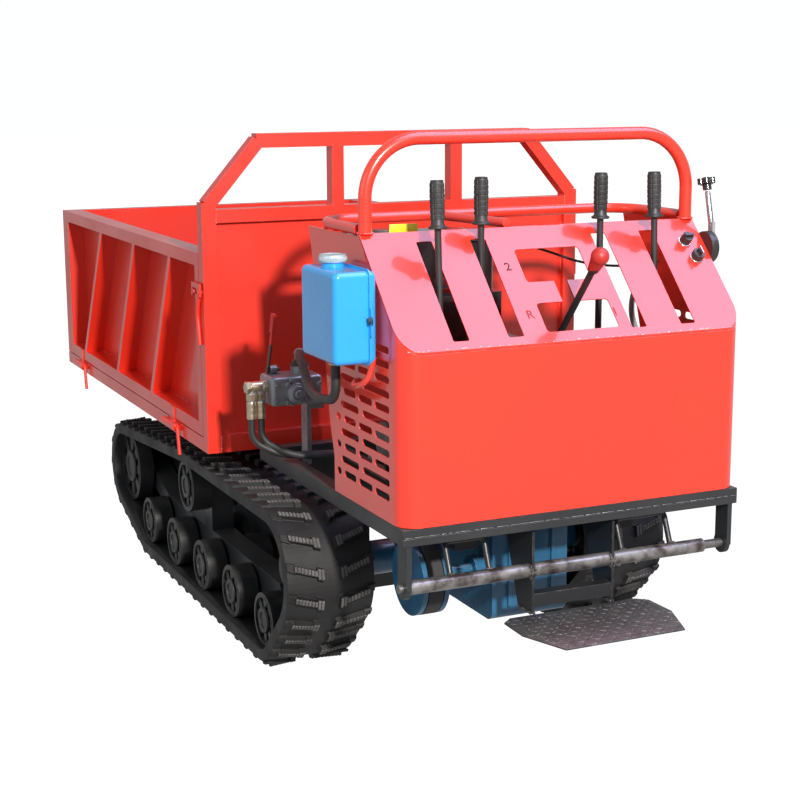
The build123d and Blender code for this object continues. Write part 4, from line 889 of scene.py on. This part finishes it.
for corner in range(4):
    around = math.tau * (corner + 0.5) / 4
    spot = nose + Vector((0.033 * math.cos(around), 0.014, 0.033 * math.sin(around)))
    parts.append(hexagonal("lug_bolt", [(0, 0), (0.0072, 0), (0.0072, 0.009), (0.0060, 0.011), (0, 0.011)],
                           spot, spot + forward))
fitted(joined("pump_cover_and_bolts", parts), cast_alloy, "chassis")
banjo = Vector((-0.505, pump.y - 0.010, pump.z + 0.008))
banjo_axis = banjo, banjo - Vector((1, 0, 0))
parts = [hexagonal("banjo_nut", [(0, 0), (0.0165, 0), (0.0175, 0.002), (0.0175, 0.012), (0.0165, 0.014),
                                 (0, 0.014)], *banjo_axis),
         hexagonal("banjo_end", [(0, 0.044), (0.0158, 0.044), (0.0168, 0.046), (0.0168, 0.056),
                                 (0.0150, 0.0585), (0, 0.0585)], *banjo_axis),
         turned("banjo_body", [(0, 0.013), (0.0146, 0.013), (0.0146, 0.045), (0, 0.045)], *banjo_axis)]
for x in (-0.548, -0.522):
    spot = Vector((x, pump.y - 0.010, pump.z - 0.008))
    down = spot - Vector((0, 0, 1))
    parts.append(hexagonal("swivel_nut", [(0, 0), (0.0128, 0), (0.0135, 0.0015), (0.0135, 0.016),
                                          (0.0126, 0.018), (0, 0.018)], spot, down))
    parts.append(turned("ferrule", [(0, 0.020), (0.0108, 0.020), (0.0122, 0.023), (0.0122, 0.034),
                                    (0.0117, 0.036), (0.0122, 0.038), (0.0122, 0.050), (0.0117, 0.052),
                                    (0.0122, 0.054), (0.0122, 0.0655), (0.0105, 0.0672), (0, 0.0672)],
                        spot, down))
fitted(joined("hose_fittings", parts), zinc, "chassis")
elbow = Vector((-0.410, pump.y, pump.z + 0.030))
flange = turned("inlet_flange", [(0, 0.024), (0.0275, 0.024), (0.0275, 0.028), (0.020, 0.030), (0.020, 0.038),
                                 (0.0165, 0.040), (0, 0.040)], elbow, elbow + Vector((0, 0, 1)))
fitted(flange, lever_black, "chassis")

# ---- Folding step ----------------------------------------------------------------------------
# A bare steel tube turns on the shaft between the hangers. It carries two black gusset arms, two
# bent stop loops and the worn chequer-plate foot platform, all welded.

step_y, step_z = front + 0.035, 0.388
ARM_X = 0.108
TREAD_PITCH = 0.0205
tube_steel = new_finish("step_frame_paint", (0.020, 0.021, 0.023), (0.015, 0.01575, 0.01725), (0.3, 0.3, 0.3),
                        0.36)
tree = tube_steel.node_tree
shader = tree.nodes["Principled BSDF"]
place, split = tree.nodes.new("ShaderNodeTexCoord"), tree.nodes.new("ShaderNodeSeparateXYZ")
tree.links.new(place.outputs["Object"], split.inputs["Vector"])
from_axis = tree.nodes.new("ShaderNodeVectorMath")
from_axis.operation = "DISTANCE"
flat = tree.nodes.new("ShaderNodeCombineXYZ")
tree.links.new(split.outputs["Y"], flat.inputs["Y"])
tree.links.new(split.outputs["Z"], flat.inputs["Z"])
tree.links.new(flat.outputs["Vector"], from_axis.inputs[0])
from_axis.inputs[1].default_value = (0, step_y, step_z)
on_tube = ranged(tree, from_axis.outputs["Value"], 0.0176, 0.0172, 0, 1)
rust = tree.nodes.new("ShaderNodeTexNoise")
rust.inputs["Scale"].default_value = 26.0
rust.inputs["Detail"].default_value = 8.0
tree.links.new(place.outputs["Object"], rust.inputs["Vector"])
bare = mixed(tree, ranged(tree, rust.outputs["Fac"], 0.40, 0.62, 0, 1), (0.30, 0.285, 0.28),
             (0.07, 0.055, 0.048))
painted = shader.inputs["Base Color"].links[0].from_socket
tree.links.new(mixed(tree, on_tube, painted, bare), shader.inputs["Base Color"])
tree.links.new(ranged(tree, on_tube, 0, 1, 0, 0.7), shader.inputs["Metallic"])
cover_nodes(tube_steel, "step_frame")

plate_low, plate_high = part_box("step_plate")
half_plan = [(0.156, -0.218), (0.200, -0.097), (0.197, -0.005), (0.170, 0.018)]
plan = [(x, front + y) for x, y in half_plan] + [(-x, front + y) for x, y in reversed(half_plan)]
sheet = prism("sheet", plan, plate_high.z - plate_low.z - 0.001)
sheet.data.transform(Matrix.Translation((0, 0, plate_low.z)))
chamfered(sheet, 0.0012)


def plan_half_width(y):
    """Half the platform's width at a place front to back."""
    for (x0, y0), (x1, y1) in zip(half_plan, half_plan[1:]):
        if y0 <= y - front <= y1:
            return x0 + (x1 - x0) * (y - front - y0) / (y1 - y0)
    return 0.0


bar = prism("tread_bar", [(-0.0095, 0), (-0.004, -0.0022), (0.004, -0.0022), (0.0095, 0), (0.004, 0.0022),
                          (-0.004, 0.0022)], 0.0014, 0.7)
places = []
for row in range(11):
    y = front - 0.208 + TREAD_PITCH * row
    for column in range(-10, 11):
        x = column * TREAD_PITCH
        if abs(x) < plan_half_width(y) - 0.010 and plan_half_width(y + 0.008) and plan_half_width(y - 0.008):
            slant = math.radians(45 if (row + column) % 2 else -45)
            places.append(Matrix.Translation((x, y, plate_high.z - 0.0012)) @ Matrix.Rotation(slant, 4, "Z"))
tread = copied("tread_bars", bar, places)
tread_steel = new_finish("tread_steel", (0.085, 0.082, 0.088), (0.028, 0.027, 0.029), (0.50, 0.48, 0.46), 0.42,
                         metal=0.55, patch=17, grain=420, dent=0.0005, wear=0.9, edge=0.0015, dust=0.35)
platform = fitted(joined("step_platform", [sheet, tread]), tread_steel, "step")
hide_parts("step_plate")
tabs = [plate("tab", (side * ARM_X - 0.0025, front - 0.012, plate_high.z - 0.0006),
              (side * ARM_X + 0.0025, front + 0.016, plate_high.z + 0.0004), 0.0003) for side in (-1, 1)]
fitted(joined("step_arm_tabs", tabs), steel_bright, "step")
step_seams = []
for side in (-1, 1):
    for face in (-0.0042, 0.0042):
        x = side * ARM_X + face
        step_seams += [((x, front + 0.020, plate_high.z + 0.001), (x, front + 0.050, plate_high.z + 0.001)),
                       ((x, front + 0.060, plate_high.z + 0.001), (x, front + 0.082, plate_high.z + 0.001)),
                       ((x, step_y - 0.018, step_z - 0.006), (x, step_y - 0.012, step_z - 0.016)),
                       ((x, step_y - 0.018, step_z + 0.004), (x, step_y - 0.012, step_z + 0.014))]
for x in (-0.311, -0.210, 0.148, 0.286):
    y, z = step_y + 0.004, step_z + 0.017
    step_seams.append(((x - 0.007, y, z), (x + 0.007, y, z)))
weld_grey = new_finish("weld_grey", (0.10, 0.095, 0.09), (0.04, 0.038, 0.036), (0.4, 0.38, 0.36), 0.5,
                       metal=0.6, patch=60)
fitted(weld_seams("step_welds", step_seams, 0.0034), weld_grey, "step")

# ---- Tipping bed -----------------------------------------------------------------------------
# A welded steel bed with a fixed headboard and guard, two drop sides and a drop gate, on pipe
# hinges with bent pins, all sprayed red. Stitch welds hold the ribs and the frame tubes.

bed_paint = new_finish("bed_paint", (0.80, 0.032, 0.013), (0.70, 0.024, 0.010), (0.9, 0.30, 0.26), 0.36,
                       coat=0.5, grain=600, dent=0.00006, patch=3, wear=0.5, edge=0.0013)
cover_nodes(bed_paint, "bed_floor", "headboard", "front_gate", "left_side_panel", "right_side_panel",
            "hinge_pins", "left_latch", "right_latch")
for side, sign in (("left", -1), ("right", 1)):
    low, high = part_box(f"{side}_side_panel")
    sheet_x = sign * (0.575 - 0.056)
    seams = []
    for start, end in ((1.055, 1.20), (1.35, 1.50), (1.65, 1.80), (1.95, 2.10), (2.25, 2.40)):
        for z in (low.z + 0.064, high.z - 0.037):
            seams.append(((sheet_x, front + start, z), (sheet_x, front + end, z)))
    fitted(weld_seams(f"{side}_panel_welds", seams, 0.0026), bed_paint, f"{side}_side_panel")
board_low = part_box("headboard")[0]
seams = []
for side in (-1, 1):
    for z in (1.172, 1.334):
        for x in (side * 0.164, side * 0.199):
            seams.append(((x, board_low.y - 0.0002, z), (x, board_low.y + 0.040, z)))
    for z0, z1 in ((1.136, 1.172), (0.509, 0.553)):
        seams.append(((side * 0.535, board_low.y - 0.0002, z0), (side * 0.535, board_low.y - 0.0002, z1)))
    seams += [((side * 0.534, board_low.y + 0.0165, 0.62 + 0.11 * step),
               (side * 0.534, board_low.y + 0.0165, 0.66 + 0.11 * step)) for step in range(5)]
fitted(weld_seams("headboard_welds", seams, 0.0028), bed_paint, "bed")
